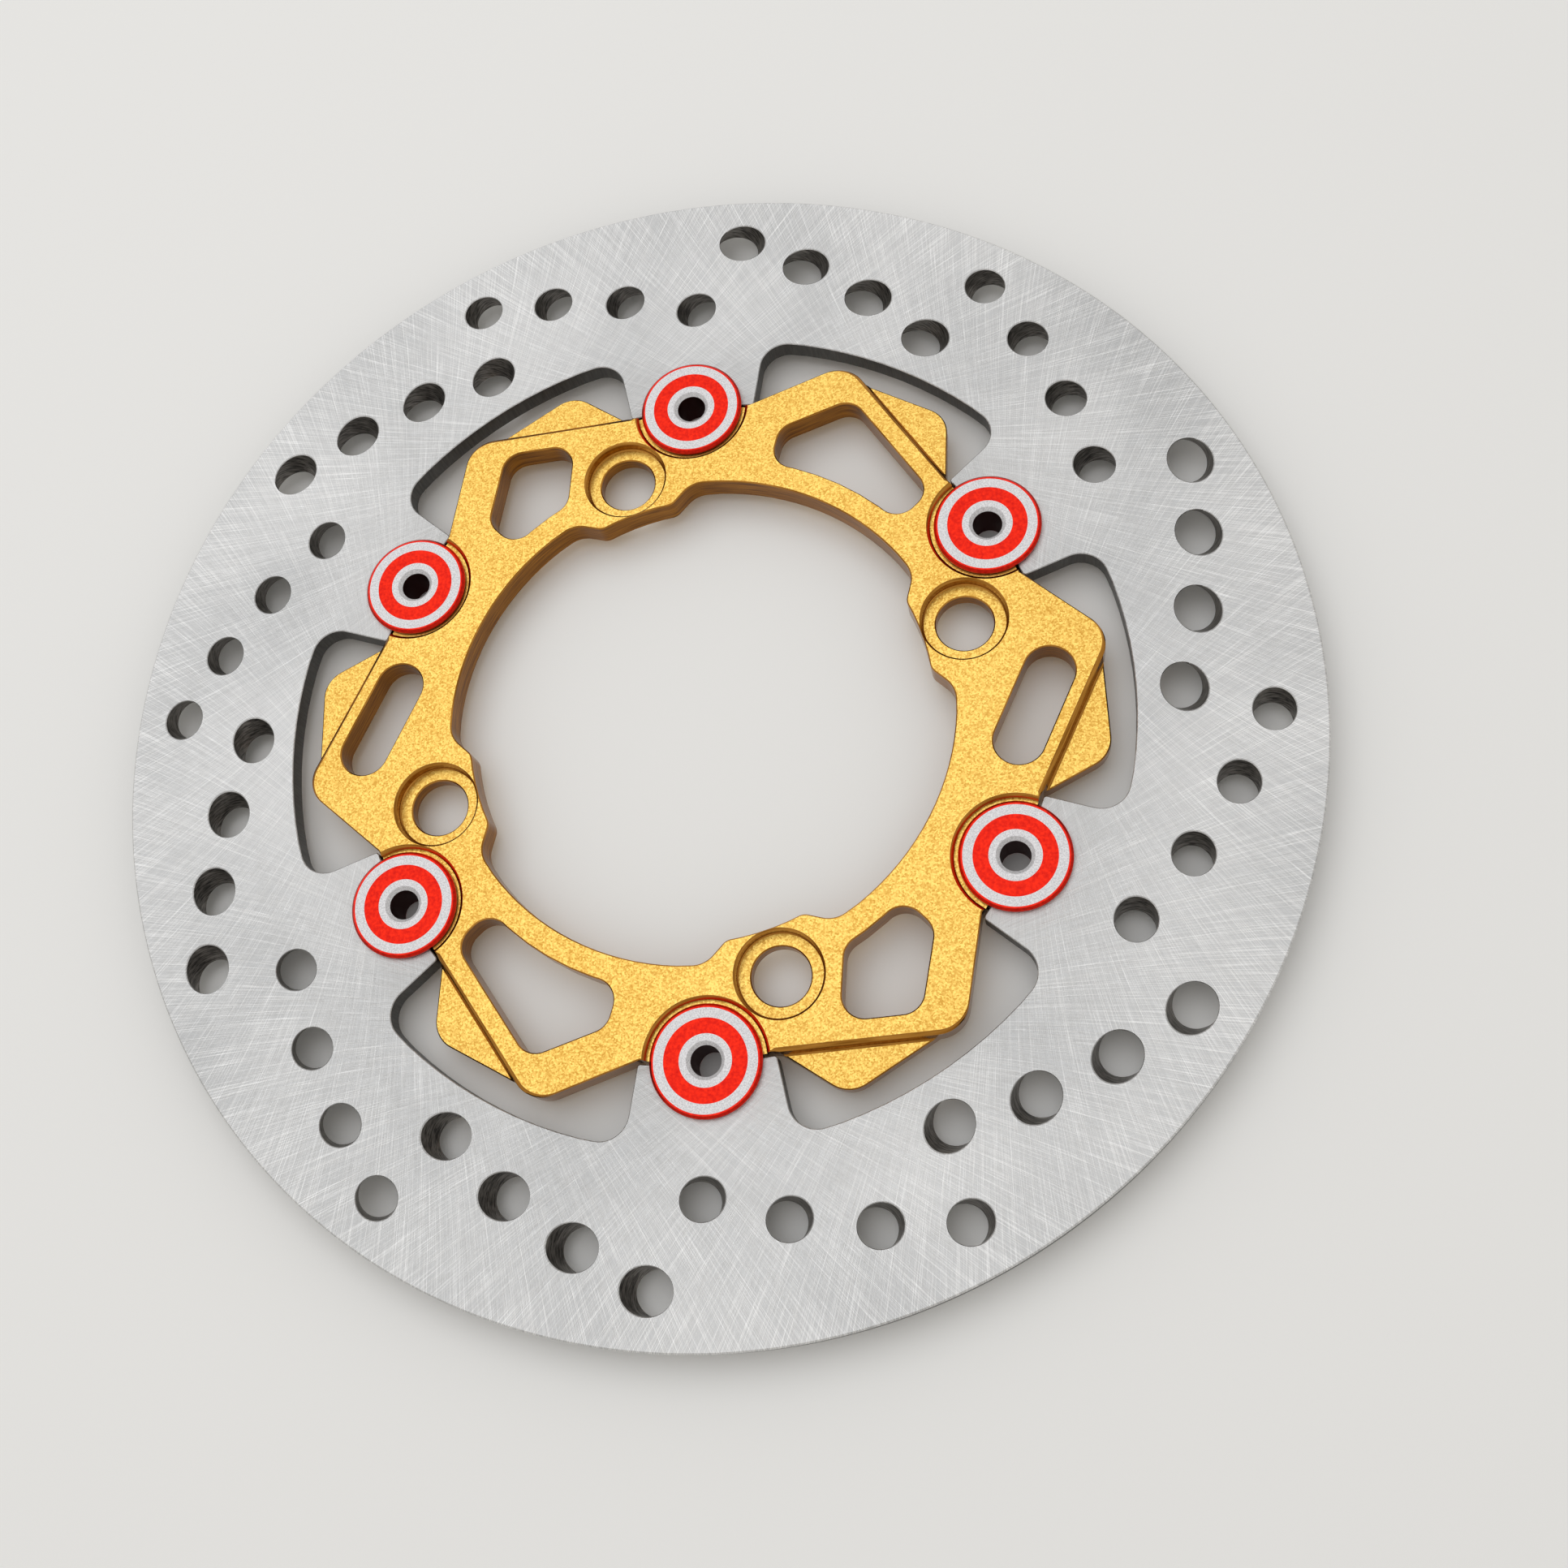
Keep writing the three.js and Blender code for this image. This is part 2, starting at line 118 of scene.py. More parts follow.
BOBBINS = 6
SECTOR = 360 / BOBBINS
BOBBIN_CENTRES = [centre_of(f"bobbin_{k + 1}") for k in range(BOBBINS)]
STATIONS = [math.degrees(math.atan2(y, x)) % 360 for x, y in BOBBIN_CENTRES]
BOBBIN_CIRCLE = float(np.hypot(*BOBBIN_CENTRES[0]))
DISC_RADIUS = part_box("braking_band")[1].x / MM
BAND_BOTTOM, BAND_TOP = levels("braking_band")
CARRIER_BOTTOM, CARRIER_TOP = levels("rotor_carrier")
SEAT_FLOOR = mount_height("bolt_seat_1")

# Braking band. Hole places are radii and angles counted from a bobbin's own angle.
POCKET_RADIUS = 77.8
POCKET_FILLET = 5
TOOTH_TIP_RADIUS = 63.8
TOOTH_TIP_FILLET = 0.6
TOOTH_HALF_ANGLE = 10.85
BOBBIN_POCKET_RADIUS = 6.7
LARGE_HOLES = [(86.1, -32.2), (90.65, -23.0), (95.3, -14.3), (100.4, -6.3)]
SMALL_HOLES = [(85.65, -0.8), (90.5, 8.4), (95.5, 17.1), (100.9, 25.0)]
SPIRALS = [
    {"bore": 8.0, "slant": 29, "lean": 79, "holes": LARGE_HOLES},
    {"bore": 7.3, "slant": 21, "lean": -72, "holes": SMALL_HOLES},
]

# Carrier. A straight side is the direction of its normal, from a bobbin's angle, and its distance
# from the wheel axis.
CARRIER_EDGE_RADIUS = 63.2
CARRIER_EDGE_START = 10.4
STEP = (2.5, 62.8)
TRAILING = (78.2, 55.5)
LEDGE_SIDE = (-34.8, 43.96)
LEDGE_FRONT = (30, 72.7)
LEDGE_FILLET = 5.5
PEAK_FILLET = 5.7
LEDGE_DROP = 2
RECESS_RADIUS = 10.5
WINDOW_FILLET = 4
WINDOW_INNER_RADIUS = 51.25
WINDOW_STEP = (2.5, 58.85)
WINDOW_TRAILING = (77.5, 48.4)
WINDOW_START = (101.5, 0)
WINDOW_END = (133, 0)
WINDOW_BOSS = (84, 29.1)
SLOT_WIDTH = 9.1
SLOT_ENDS = [(57.9, 19.3), (63.2, 31.5)]
BORE_RADIUS = 46.6
BORE_FILLET = 5
BOSSES = [15, 105, 195, 285]
BOSS_INNER_RADIUS = 42.7
BOSS_HALF_ANGLE = 9.5
BOSS_ROOT_HALF_ANGLE = 14.8
BOSS_FILLET = 2.5
BOLT_CIRCLE = 50.75
BOLT_HOLE_RADIUS = 5.25
BOLT_SEAT_RADIUS = 7.65

# Bobbin, washers and circlip, on a bobbin's own axis.
FLANGE_THICKNESS = 0.95
FLANGE_RADIUS = 9.8
SHANK_RADIUS = 6.5
BOBBIN_BORE_RADIUS = 2.7
GROOVE = (0.7, 1.75, 5.6)  # bottom, top, radius
WASHER_INNER_RADIUS = 6.7
WAVE_WASHER_THICKNESS = 0.25
WAVES = 3
CIRCLIP_INNER_RADIUS = 5.75
CIRCLIP_OUTER_RADIUS = 7.65
CIRCLIP_OFFSET = 0.25  # the outer side's centre, away from the opening
CIRCLIP_EAR_RADIUS = 9.5
CIRCLIP_EAR_HOLE_RADIUS = 0.75
CIRCLIP_EAR_HOLE_STEPS = 20
CIRCLIP_EAR_FILLETS = (0.8, 1.2, 0.6)  # at the opening, behind it, and where the ear meets the ring
CIRCLIP_OPENING = 24  # degrees, as the next three are
CIRCLIP_EAR_ANGLE = 17
CIRCLIP_EAR_FOOT = 2
CIRCLIP_TURN = 47  # from one bobbin's circlip to the next, as they happened to be pushed on

# Patterns of the finishes, as sizes in millimetres. Real blasting, etching, drilling and milling leave
# finer marks than these, which are as coarse as they need to be to show.
SCRATCH_FAMILIES_APART = 40  # keeps the two families of scratches unlike
# SHEEN is the size of a painted reflection: the ground steel's colour slowly lightens and darkens across the
# band
SHEEN = 32
EDGE_RIPPLE = (0.32, 0.32, 4)
DRILL_RING = 0.25
DRILL_RING_DRIFT = 0.12  # change around the hole, against the change along it
GOLD_CLOUD = 16
CUTTER_LINE = (6.7, 6.7, 0.33)
OXIDE_CLOUD = 0.55
ETCH_GRAIN = 0.25
OIL_CLOUD = 1.1
SCUFF = 0.45

# Stage, in Blender's metres and in degrees.
FLOOR_HALF = 3.0
SOFTBOX_SIZE = 1.2
SOFTBOX_PLACE = (-0.2, 0.3, 1.0)
CAMERA_PLACE = (0.0568, -0.1104, 0.2850)
CAMERA_TURN = (18.473, 9.261, -2.157)
CAMERA_NEAREST = 0.01

# Fineness of round shapes.
ARC_STEP = 3  # degrees
WINDOW_ARC_STEP = 5.5  # wider, so that a window's fillets fit between the points of its arc
RIM_SIDES = 720
DRILL_SIDES = 56
LATHE_SIDES = 120
BOSS_STEPS = 5
CREASE = 22  # degrees, past which an edge is sharp
MERGE = 1e-6  # metres, within which doubled points become one
PAST = 1  # how far a cutter runs past a face


# ---- Plane geometry ----
def polar(radius, angle):
    """Point or points at a radius and an angle about the wheel axis."""
    angle = np.radians(angle)
    return np.stack([radius * np.cos(angle), radius * np.sin(angle)], -1)


def line(side, station):
    """A side of the carrier, turned to a bobbin's angle."""
    return side[0] + station, side[1]


def meet(a, b):
    """Point where two lines cross: each line's unit normal times the point is its distance."""
    normals = polar(1, np.array([a[0], b[0]]))
    return np.linalg.solve(normals, [a[1], b[1]])


def arc(centre, radius, start, end, steps=None):
    """Points on a circle about a centre, from one angle to another, both included."""
    steps = steps or max(1, round(abs(end - start) / ARC_STEP))
    return centre + polar(radius, np.linspace(start, end, steps + 1))


def rounded(corners):
    """Closed outline through corners. An arc of the corner's fillet radius r touches both of its
    sides: its centre is r / sin(h) from the corner, h being half the angle between the sides."""
    points = np.array([point for point, _ in corners])
    outline = []
    for i, (at, fillet) in enumerate(corners):
        if not fillet:
            outline.append(np.array([at]))
            continue
        back = points[i - 1] - at
        ahead = points[(i + 1) % len(points)] - at
        back = back / np.linalg.norm(back)
        ahead = ahead / np.linalg.norm(ahead)
        half = math.acos(back @ ahead) / 2
        middle = (back + ahead) / np.linalg.norm(back + ahead)
        centre = at + middle * fillet / math.sin(half)
        touch = at + back * fillet / math.tan(half) - centre
        start = math.degrees(math.atan2(touch[1], touch[0]))
        left = math.copysign(1, ahead[0] * back[1] - ahead[1] * back[0])
        outline.append(arc(centre, fillet, start, start + left * (180 - 2 * math.degrees(half))))
    outline = np.concatenate(outline)
    apart = np.linalg.norm(np.roll(outline, -1, 0) - outline, axis=1) * MM > MERGE
    return outline[apart]


def arc_corners(points, fillet):
    """Corners along an arc with a fillet at both ends, less those points of it that a fillet takes up."""
    reach = np.linalg.norm([points - points[0], points - points[-1]], axis=2).min(0)
    middle = [(point, 0) for point in points[reach > fillet]]
    return [(points[0], fillet), *middle, (points[-1], fillet)]


def inset(outline, distance):
    """Outline that runs anticlockwise, moved inwards: each point goes along the sum s of the unit
    normals of its two sides, by distance * 2 s / |s|^2, so that both sides move by the distance."""
    side = np.roll(outline, -1, 0) - outline
    normal = np.stack([-side[:, 1], side[:, 0]], -1) / np.linalg.norm(side, axis=1)[:, None]
    both = normal + np.roll(normal, 1, 0)
    return outline + distance * 2 * both / (both**2).sum(1)[:, None]


def crossing(edge_radius, radius=BOBBIN_POCKET_RADIUS):
    """Angle about a bobbin's centre at which a circle round it meets a circle about the axis."""
    cosine = (edge_radius**2 - BOBBIN_CIRCLE**2 - radius**2) / (2 * BOBBIN_CIRCLE * radius)
    return math.degrees(math.acos(cosine))


# ---- Surfaces ----
def at_height(outline, height):
    """Plane outline as a ring of points in space."""
    return np.column_stack([outline, np.full(len(outline), height)])


def grid(rows, columns, closed=False):
    """Quads of a grid. Its columns close on themselves, and so do its rows if it is closed."""
    row = np.arange(rows if closed else rows - 1)[:, None]
    column = np.arange(columns)[None, :]
    above, ahead = (row + 1) % rows, (column + 1) % columns
    quads = [row * columns + column, row * columns + ahead, above * columns + ahead, above * columns + column]
    return np.stack(quads, -1).reshape(-1, 4)


def skin(rings, closed=False):
    """Surface through rings of equally many points, as (points, faces)."""
    rings = np.asarray(rings)
    return rings.reshape(-1, 3), grid(len(rings), rings.shape[1], closed).tolist()


def flat(rings):
    """Flat face inside the first ring and outside the others, as (points, faces)."""
    return np.concatenate(rings), [list(t) for t in tessellate_polygon([r.tolist() for r in rings])]


def loft(rings):
    """Closed solid through level rings of equally many points, from the bottom to the top."""
    points, faces = skin(rings)
    count = len(rings[0])
    base = (len(rings) - 1) * count
    return points, faces + [list(range(count))[::-1], list(range(base, base + count))]


def wall(outline, steps):
    """Rings of an outline. Steps are (height, inset), so a slanted step is a chamfer."""
    return np.array([at_height(inset(outline, distance), height) for height, distance in steps])


def upright(low, high, chamfer):
    """Steps of an upright wall with a chamfer at each end. A hole's chamfer is below zero."""
    size = abs(chamfer)
    return [(low, chamfer), (low + size, 0), (high - size, 0), (high, chamfer)]


def prism(outline, steps):
    """Closed solid with an outline's shape, through steps of (height, inset)."""
    return loft(wall(outline, steps))


def turned(profile, centre):
    """Rings of a profile of (radius, height) points, turned about an upright axis."""
    turn = np.linspace(0, 360, LATHE_SIDES, endpoint=False)
    return [at_height(centre + polar(radius, turn), height) for radius, height in profile]


def lathe(profile, centre):
    """Solid of revolution whose profile closes on itself."""
    return skin(turned(profile, centre), closed=True)


def plug(profile, centre):
    """Solid of revolution whose profile ends with flat discs."""
    return loft(turned(profile, centre))


def join(parts):
    """Several (points, faces) as one."""
    points = np.concatenate([p for p, _ in parts])
    starts = np.cumsum([0] + [len(p) for p, _ in parts[:-1]])
    faces = [[v + int(start) for v in face] for (_, fs), start in zip(parts, starts) for face in fs]
    return points, faces


def plate(walls):
    """Closed solid inside the first wall and outside the others, with a flat face at each end."""
    ends = [flat([rings[0] for rings in walls]), flat([rings[-1] for rings in walls])]
    return join([skin(rings) for rings in walls] + ends)


def merged(mesh):
    """The mesh with its doubled points merged and its faces pointing outwards."""
    work = bmesh.new()
    work.from_mesh(mesh)
    bmesh.ops.remove_doubles(work, verts=work.verts, dist=MERGE)
    bmesh.ops.recalc_face_normals(work, faces=work.faces)
    work.to_mesh(mesh)
    work.free()
    return mesh


def mesh_of(name, part, along=None):
    """Closed mesh in metres. A number for each point, where given, is kept as attribute "along"."""
    points, faces = part
    mesh = bpy.data.meshes.new(name)
    mesh.from_pydata((points * MM).tolist(), [], faces)
    if along is not None:
        mesh.attributes.new("along", "FLOAT", "POINT").data.foreach_set("value", along.astype(np.float32))
    return merged(mesh)


def combine(mesh, tool, operation):
    """Mesh joined with, or cut by, a closed tool mesh."""
    body = bpy.data.objects.new("body", mesh)
    other = bpy.data.objects.new("tool", tool)
    for item in (body, other):
        bpy.context.scene.collection.objects.link(item)
    modifier = body.modifiers.new("combine", "BOOLEAN")
    modifier.operation = operation
    modifier.solver = "MANIFOLD"
    modifier.object = other
    bpy.context.view_layer.update()
    made = bpy.data.meshes.new_from_object(body.evaluated_get(bpy.context.evaluated_depsgraph_get()))
    for item in (body, other):
        bpy.data.objects.remove(item)
    return made


def is_closed(mesh):
    """True if each edge of a mesh lies between two faces."""
    edges = np.zeros(len(mesh.loops), np.int32)
    mesh.loops.foreach_get("edge_index", edges)
    return len(edges) > 0 and bool((np.bincount(edges, minlength=len(mesh.edges)) == 2).all())


def place_piece(name, mesh, node, materials, slots=None):
    """Finished piece that stands for a CAD node and rides on its body. An open shell is an error."""
    if not is_closed(mesh):
        raise RuntimeError(f"{name} isn't a closed solid")
    mesh.name = name
    mesh.materials.clear()
    for material in materials:
        mesh.materials.append(material)
    if slots is not None:
        mesh.polygons.foreach_set("material_index", slots.astype(np.int32))
    mesh.shade_smooth()
    mesh.set_sharp_from_angle(angle=math.radians(CREASE))
    piece = bpy.data.objects.new(name, mesh)
    bpy.context.scene.collection.objects.link(piece)
    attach(piece, frame["nodes"][node]["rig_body"])
    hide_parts(node)


def face_data(mesh):
    """Middle, in millimetres, and unit normal of each face of a mesh."""
    data = np.zeros((2, len(mesh.polygons) * 3))
    mesh.polygons.foreach_get("center", data[0])
    mesh.polygons.foreach_get("normal", data[1])
    middle, normal = data.reshape(2, -1, 3)
    return middle / MM, normal


# ---- Materials ----
def linear(colour):
    """An sRGB hex colour such as "#D9A73C" as linear red, green, blue and 1."""
    value = np.array([int(colour[i : i + 2], 16) for i in (1, 3, 5)]) / 255
    value = np.where(value <= 0.04045, value / 12.92, ((value + 0.055) / 1.055) ** 2.4)
    return (*value.tolist(), 1.0)


def add(tree, kind, inputs=None, **settings):
    """Add a node. Inputs are values, or the output sockets of other nodes to link."""
    node = tree.nodes.new("ShaderNode" + kind)
    for name, value in settings.items():
        setattr(node, name, value)
    for name, value in (inputs or {}).items():
        if isinstance(value, bpy.types.NodeSocket):
            tree.links.new(value, node.inputs[name])
        else:
            node.inputs[name].default_value = value
    return node


def new_material(name, **shader):
    """Material with a Principled shader, as (material, tree, shader node)."""
    material = bpy.data.materials.new(name)
    material.use_nodes = True
    tree = material.node_tree
    tree.nodes.clear()
    bsdf = add(tree, "BsdfPrincipled", shader)
    add(tree, "OutputMaterial", {"Surface": bsdf.outputs["BSDF"]})
    return material, tree, bsdf


def place_in_mm(tree):
    """Where a point is on its piece, in millimetres."""
    coordinates = add(tree, "TexCoord").outputs["Object"]
    return add(tree, "VectorMath", {0: coordinates, "Scale": 1 / MM}, operation="SCALE").outputs["Vector"]


def finish(tree, bsdf, colours, pattern, span, relief=None, strength=0, depth=0):
    """Give a shader a colour that goes from dark to light while a pattern's value goes over a span,
    and a relief of a depth in millimetres."""
    inputs = {"Value": pattern, "From Min": span[0], "From Max": span[1]}
    share = add(tree, "MapRange", inputs).outputs["Result"]
    dark, light = colours
    mixed = add(tree, "Mix", {"Factor": share, "A": dark, "B": light}, data_type="RGBA")
    tree.links.new(mixed.outputs["Result"], bsdf.inputs["Base Color"])
    if relief is not None:
        inputs = {"Height": relief, "Strength": strength, "Distance": depth * MM}
        tree.links.new(add(tree, "Bump", inputs).outputs["Normal"], bsdf.inputs["Normal"])


def ground_steel(settings):
    """Martensitic stainless steel, ground flat by a big cup wheel. The wheel's rim crosses the band
    twice as the band turns, so two families of long curved scratches cross each other.

    The rim is a circle whose centre is at a distance d from the axis and whose radius is w, so at a
    radius r it is at the angle acos((r^2 + d^2 - w^2) / (2 d r)). Turning each point back by that
    angle makes one scratch a straight ray, and noise stretched along the ray draws it."""
    material, tree, bsdf = new_material("ground_stainless_steel", Metallic=1.0)
    place = place_in_mm(tree)
    level = add(tree, "VectorMath", {0: place, 1: (1, 1, 0)}, operation="MULTIPLY").outputs["Vector"]
    radius = add(tree, "VectorMath", {0: level}, operation="LENGTH").outputs["Value"]
    wheel, centre = settings.wheel_radius / MM, settings.wheel_distance / MM
    square = add(tree, "Math", {0: radius, 1: radius}, operation="MULTIPLY").outputs[0]
    over = add(tree, "Math", {0: square, 1: centre**2 - wheel**2}, operation="ADD").outputs[0]
    under = add(tree, "Math", {0: radius, 1: 2 * centre}, operation="MULTIPLY").outputs[0]
    cosine = add(tree, "Math", {0: over, 1: under}, operation="DIVIDE", use_clamp=True).outputs[0]
    bend = add(tree, "Math", {0: cosine}, operation="ARCCOSINE").outputs[0]
    ray = add(tree, "VectorMath", {0: level}, operation="NORMALIZE").outputs["Vector"]
    around = DISC_RADIUS * MM / settings.scratch_spacing
    scratches = []
    for sign in (1, -1):
        angle = add(tree, "Math", {0: bend, 1: sign}, operation="MULTIPLY").outputs[0]
        inputs = {"Vector": ray, "Angle": angle}
        straight = add(tree, "VectorRotate", inputs, rotation_type="Z_AXIS").outputs[0]
        across = add(tree, "VectorMath", {0: straight, "Scale": around}, operation="SCALE").outputs["Vector"]
        lift = add(tree, "Math", {0: radius, 1: settings.scratch_stretch}, operation="MULTIPLY").outputs[0]
        apart = add(tree, "Math", {0: lift, 1: SCRATCH_FAMILIES_APART * sign}, operation="ADD").outputs[0]
        along = add(tree, "CombineXYZ", {"Z": apart}).outputs[0]
        where = add(tree, "VectorMath", {0: across, 1: along}, operation="ADD").outputs["Vector"]
        inputs = {"Vector": where, "Scale": 1.0, "Detail": 3.0, "Roughness": 0.65}
        noise = add(tree, "TexNoise", inputs).outputs["Fac"]
        inputs = {"Value": noise, "From Min": 0.46, "From Max": 0.74}
        scratches.append(add(tree, "MapRange", inputs).outputs["Result"])
    both = add(tree, "Math", {0: scratches[0], 1: scratches[1]}, operation="ADD").outputs[0]
    # The sheen noise is painted reflection: it lightens and darkens the steel's colour slowly across the
    # band, and also sets the roughness below
    sheen = add(tree, "TexNoise", {"Vector": place, "Scale": 1 / SHEEN, "Detail": 1.0}).outputs["Fac"]
    tone = add(tree, "Math", {0: sheen, 1: 0.9, 2: both}, operation="MULTIPLY_ADD").outputs[0]
    finish(tree, bsdf, (settings.steel_dark, settings.steel_light), tone, (0.25, 1.7), both, 0.5, 0.04)
    inputs = {"Value": sheen, "From Min": 0.3, "From Max": 0.7, "To Min": 0.3, "To Max": 0.4}
    tree.links.new(add(tree, "MapRange", inputs).outputs["Result"], bsdf.inputs["Roughness"])
    return material


def cut_edge_steel(settings):
    """The band's rim and pockets, laser cut with fine upright ripples. Their dark colour is partly the
    thin dark skin that the cut leaves and partly painted shade on these walls.
    """
    material, tree, bsdf = new_material("laser_cut_steel_edge", Metallic=1.0, Roughness=0.45)
    ripple = add(tree, "VectorMath", {0: place_in_mm(tree), 1: EDGE_RIPPLE}, operation="DIVIDE")
    inputs = {"Vector": ripple.outputs["Vector"], "Scale": 1.0, "Detail": 3.0}
    noise = add(tree, "TexNoise", inputs).outputs["Fac"]
    finish(tree, bsdf, (settings.edge_dark, settings.edge_light), noise, (0, 1), noise, 0.4, 0.04)
    return material


def drilled_steel(settings):
    """Walls of the drilled holes: darker, as painted shade inside the holes, with the rings that the drill's
    lips leave. The rings follow the attribute "along", the depth in millimetres along the drill's axis."""
    material, tree, bsdf = new_material("drilled_steel_wall", Metallic=1.0, Roughness=0.4)
    along = add(tree, "Attribute", attribute_name="along").outputs["Fac"]
    near = add(tree, "VectorMath", {0: place_in_mm(tree), "Scale": DRILL_RING_DRIFT}, operation="SCALE")
    depth = add(tree, "CombineXYZ", {"Z": along}).outputs[0]
    where = add(tree, "VectorMath", {0: near.outputs["Vector"], 1: depth}, operation="ADD")
    inputs = {"Vector": where.outputs["Vector"], "Scale": 1 / DRILL_RING, "Detail": 2.0, "Roughness": 0.65}
    rings = add(tree, "TexNoise", inputs).outputs["Fac"]
    finish(tree, bsdf, (settings.drill_dark, settings.drill_light), rings, (0.35, 0.65), rings, 0.6, 0.06)
    return material


def blasted_gold(settings):
    """Aluminium, bead blasted and anodised gold. The blasting leaves round dents, and each one
    catches the light or misses it, so the gold glitters finely. That glitter is painted into the
    colour: each dent gets a random tone, a painted glint or painted shade. The dents are drawn coarser
    than they are."""
    material, tree, bsdf = new_material("bead_blasted_gold_aluminium", Metallic=1.0)
    place = place_in_mm(tree)
    cells = add(tree, "TexVoronoi", {"Vector": place, "Scale": MM / settings.grain})
    # Each dent gets a random tone, a painted glint or painted shade, which also sets its roughness
    painted_glint = add(tree, "SeparateColor", {"Color": cells.outputs["Color"]}).outputs["Red"]
    cloud = add(tree, "TexNoise", {"Vector": place, "Scale": 1 / GOLD_CLOUD, "Detail": 1.0}).outputs["Fac"]
    tone = add(tree, "Math", {0: cloud, 1: 0.4, 2: painted_glint}, operation="MULTIPLY_ADD").outputs[0]
    colours = (settings.gold_dark, settings.gold_light)
    finish(tree, bsdf, colours, tone, (-0.1, 1.15), cells.outputs["Distance"], 0.35, 0.05)
    inputs = {"Value": painted_glint, "To Min": 0.48, "To Max": 0.34}
    tree.links.new(add(tree, "MapRange", inputs).outputs["Result"], bsdf.inputs["Roughness"])
    return material


def milled_gold(name, dark, light):
    """Walls, chamfers and counterbores of the carrier, milled after the blasting and then anodised
    with it: smoother and deeper in colour, with faint lines left by the cutter. On the walls the
    colours are darker still, as painted shade."""
    material, tree, bsdf = new_material(name, Metallic=1.0, Roughness=0.2)
    layers = add(tree, "VectorMath", {0: place_in_mm(tree), 1: CUTTER_LINE}, operation="DIVIDE")
    inputs = {"Vector": layers.outputs["Vector"], "Scale": 1.0, "Detail": 2.0}
    lines = add(tree, "TexNoise", inputs).outputs["Fac"]
    finish(tree, bsdf, (dark, light), lines, (0.3, 0.7), lines, 0.25, 0.03)
    return material


def red_anodised(settings):
    """Turned aluminium, anodised bright red: glossy, with faint clouds where the clear oxide is
    thicker, over a face that the lathe left almost even."""
    shader = {"Metallic": 1.0, "Roughness": 0.3, "Coat Weight": 0.12, "Coat Roughness": 0.15}
    material, tree, bsdf = new_material("red_anodised_aluminium", **shader)
    inputs = {"Vector": place_in_mm(tree), "Scale": 1 / OXIDE_CLOUD, "Detail": 3.0}
    cloud = add(tree, "TexNoise", inputs).outputs["Fac"]
    finish(tree, bsdf, (settings.red_dark, settings.red_light), cloud, (0.3, 0.7), cloud, 0.1, 0.03)
    return material


def anodised_bore(settings):
    """Inside of a bobbin's hole: bored rough, so its red oxide is dull. Its dark colour is
    painted shade in the hole.
    """
    inputs = {"Base Color": settings.bore_painted_shade, "Metallic": 0.9, "Roughness": 0.5}
    return new_material("anodised_bore_painted_shade", **inputs)[0]


def etched_ring(settings):
    """Rings where a laser has burnt the red oxide away: pale, matt and grainy bare aluminium."""
    material, tree, bsdf = new_material("laser_etched_aluminium", Metallic=0.5, Roughness=0.55)
    inputs = {"Vector": place_in_mm(tree), "Scale": 1 / ETCH_GRAIN, "Detail": 3.0, "Roughness": 0.7}
    grain = add(tree, "TexNoise", inputs).outputs["Fac"]
    finish(tree, bsdf, (settings.etch_dark, settings.etch_light), grain, (0.35, 0.62), grain, 0.35, 0.04)
    return material


def spring_steel(settings):
    """Hardened spring steel, blackened and oiled: dark, satin, with faint brown clouds."""
    material, tree, bsdf = new_material("blackened_spring_steel", Metallic=0.9)
    inputs = {"Vector": place_in_mm(tree), "Scale": 1 / OIL_CLOUD, "Detail": 5.0}
    noise = add(tree, "TexNoise", inputs).outputs["Fac"]
    finish(tree, bsdf, (settings.spring_dark, settings.spring_light), noise, (0.3, 0.7))
    inputs = {"Value": noise, "From Min": 0.3, "From Max": 0.7, "To Min": 0.3, "To Max": 0.48}
    tree.links.new(add(tree, "MapRange", inputs).outputs["Result"], bsdf.inputs["Roughness"])
    return material


def washer_steel(settings):
    """Stamped stainless washer, tumbled smooth: light grey with tiny scuffs."""
    material, tree, bsdf = new_material("tumbled_stainless_steel", Metallic=1.0, Roughness=0.3)
    inputs = {"Vector": place_in_mm(tree), "Scale": 1 / SCUFF, "Detail": 4.0}
    noise = add(tree, "TexNoise", inputs).outputs["Fac"]
    finish(tree, bsdf, (settings.washer_dark, settings.washer_light), noise, (0.3, 0.7), noise, 0.2, 0.03)
    return material


# ---- Braking band ----
def band_outline():
    """Inner edge of the band: teeth with a half-round bobbin pocket in each tip, and wide pockets
    with round corners between them."""
    cross = crossing(TOOTH_TIP_RADIUS)
    corners = []
    for station, centre in zip(STATIONS, BOBBIN_CENTRES):
        corners.append((polar(TOOTH_TIP_RADIUS, station - TOOTH_HALF_ANGLE), TOOTH_TIP_FILLET))
        pocket = arc(centre, BOBBIN_POCKET_RADIUS, station - cross, station + cross)
        corners += [(point, 0) for point in pocket]
        corners.append((polar(TOOTH_TIP_RADIUS, station + TOOTH_HALF_ANGLE), TOOTH_TIP_FILLET))
        wide = arc((0, 0), POCKET_RADIUS, station + TOOTH_HALF_ANGLE, station + SECTOR - TOOTH_HALF_ANGLE)
        corners += arc_corners(wide, POCKET_FILLET)
    return rounded(corners)


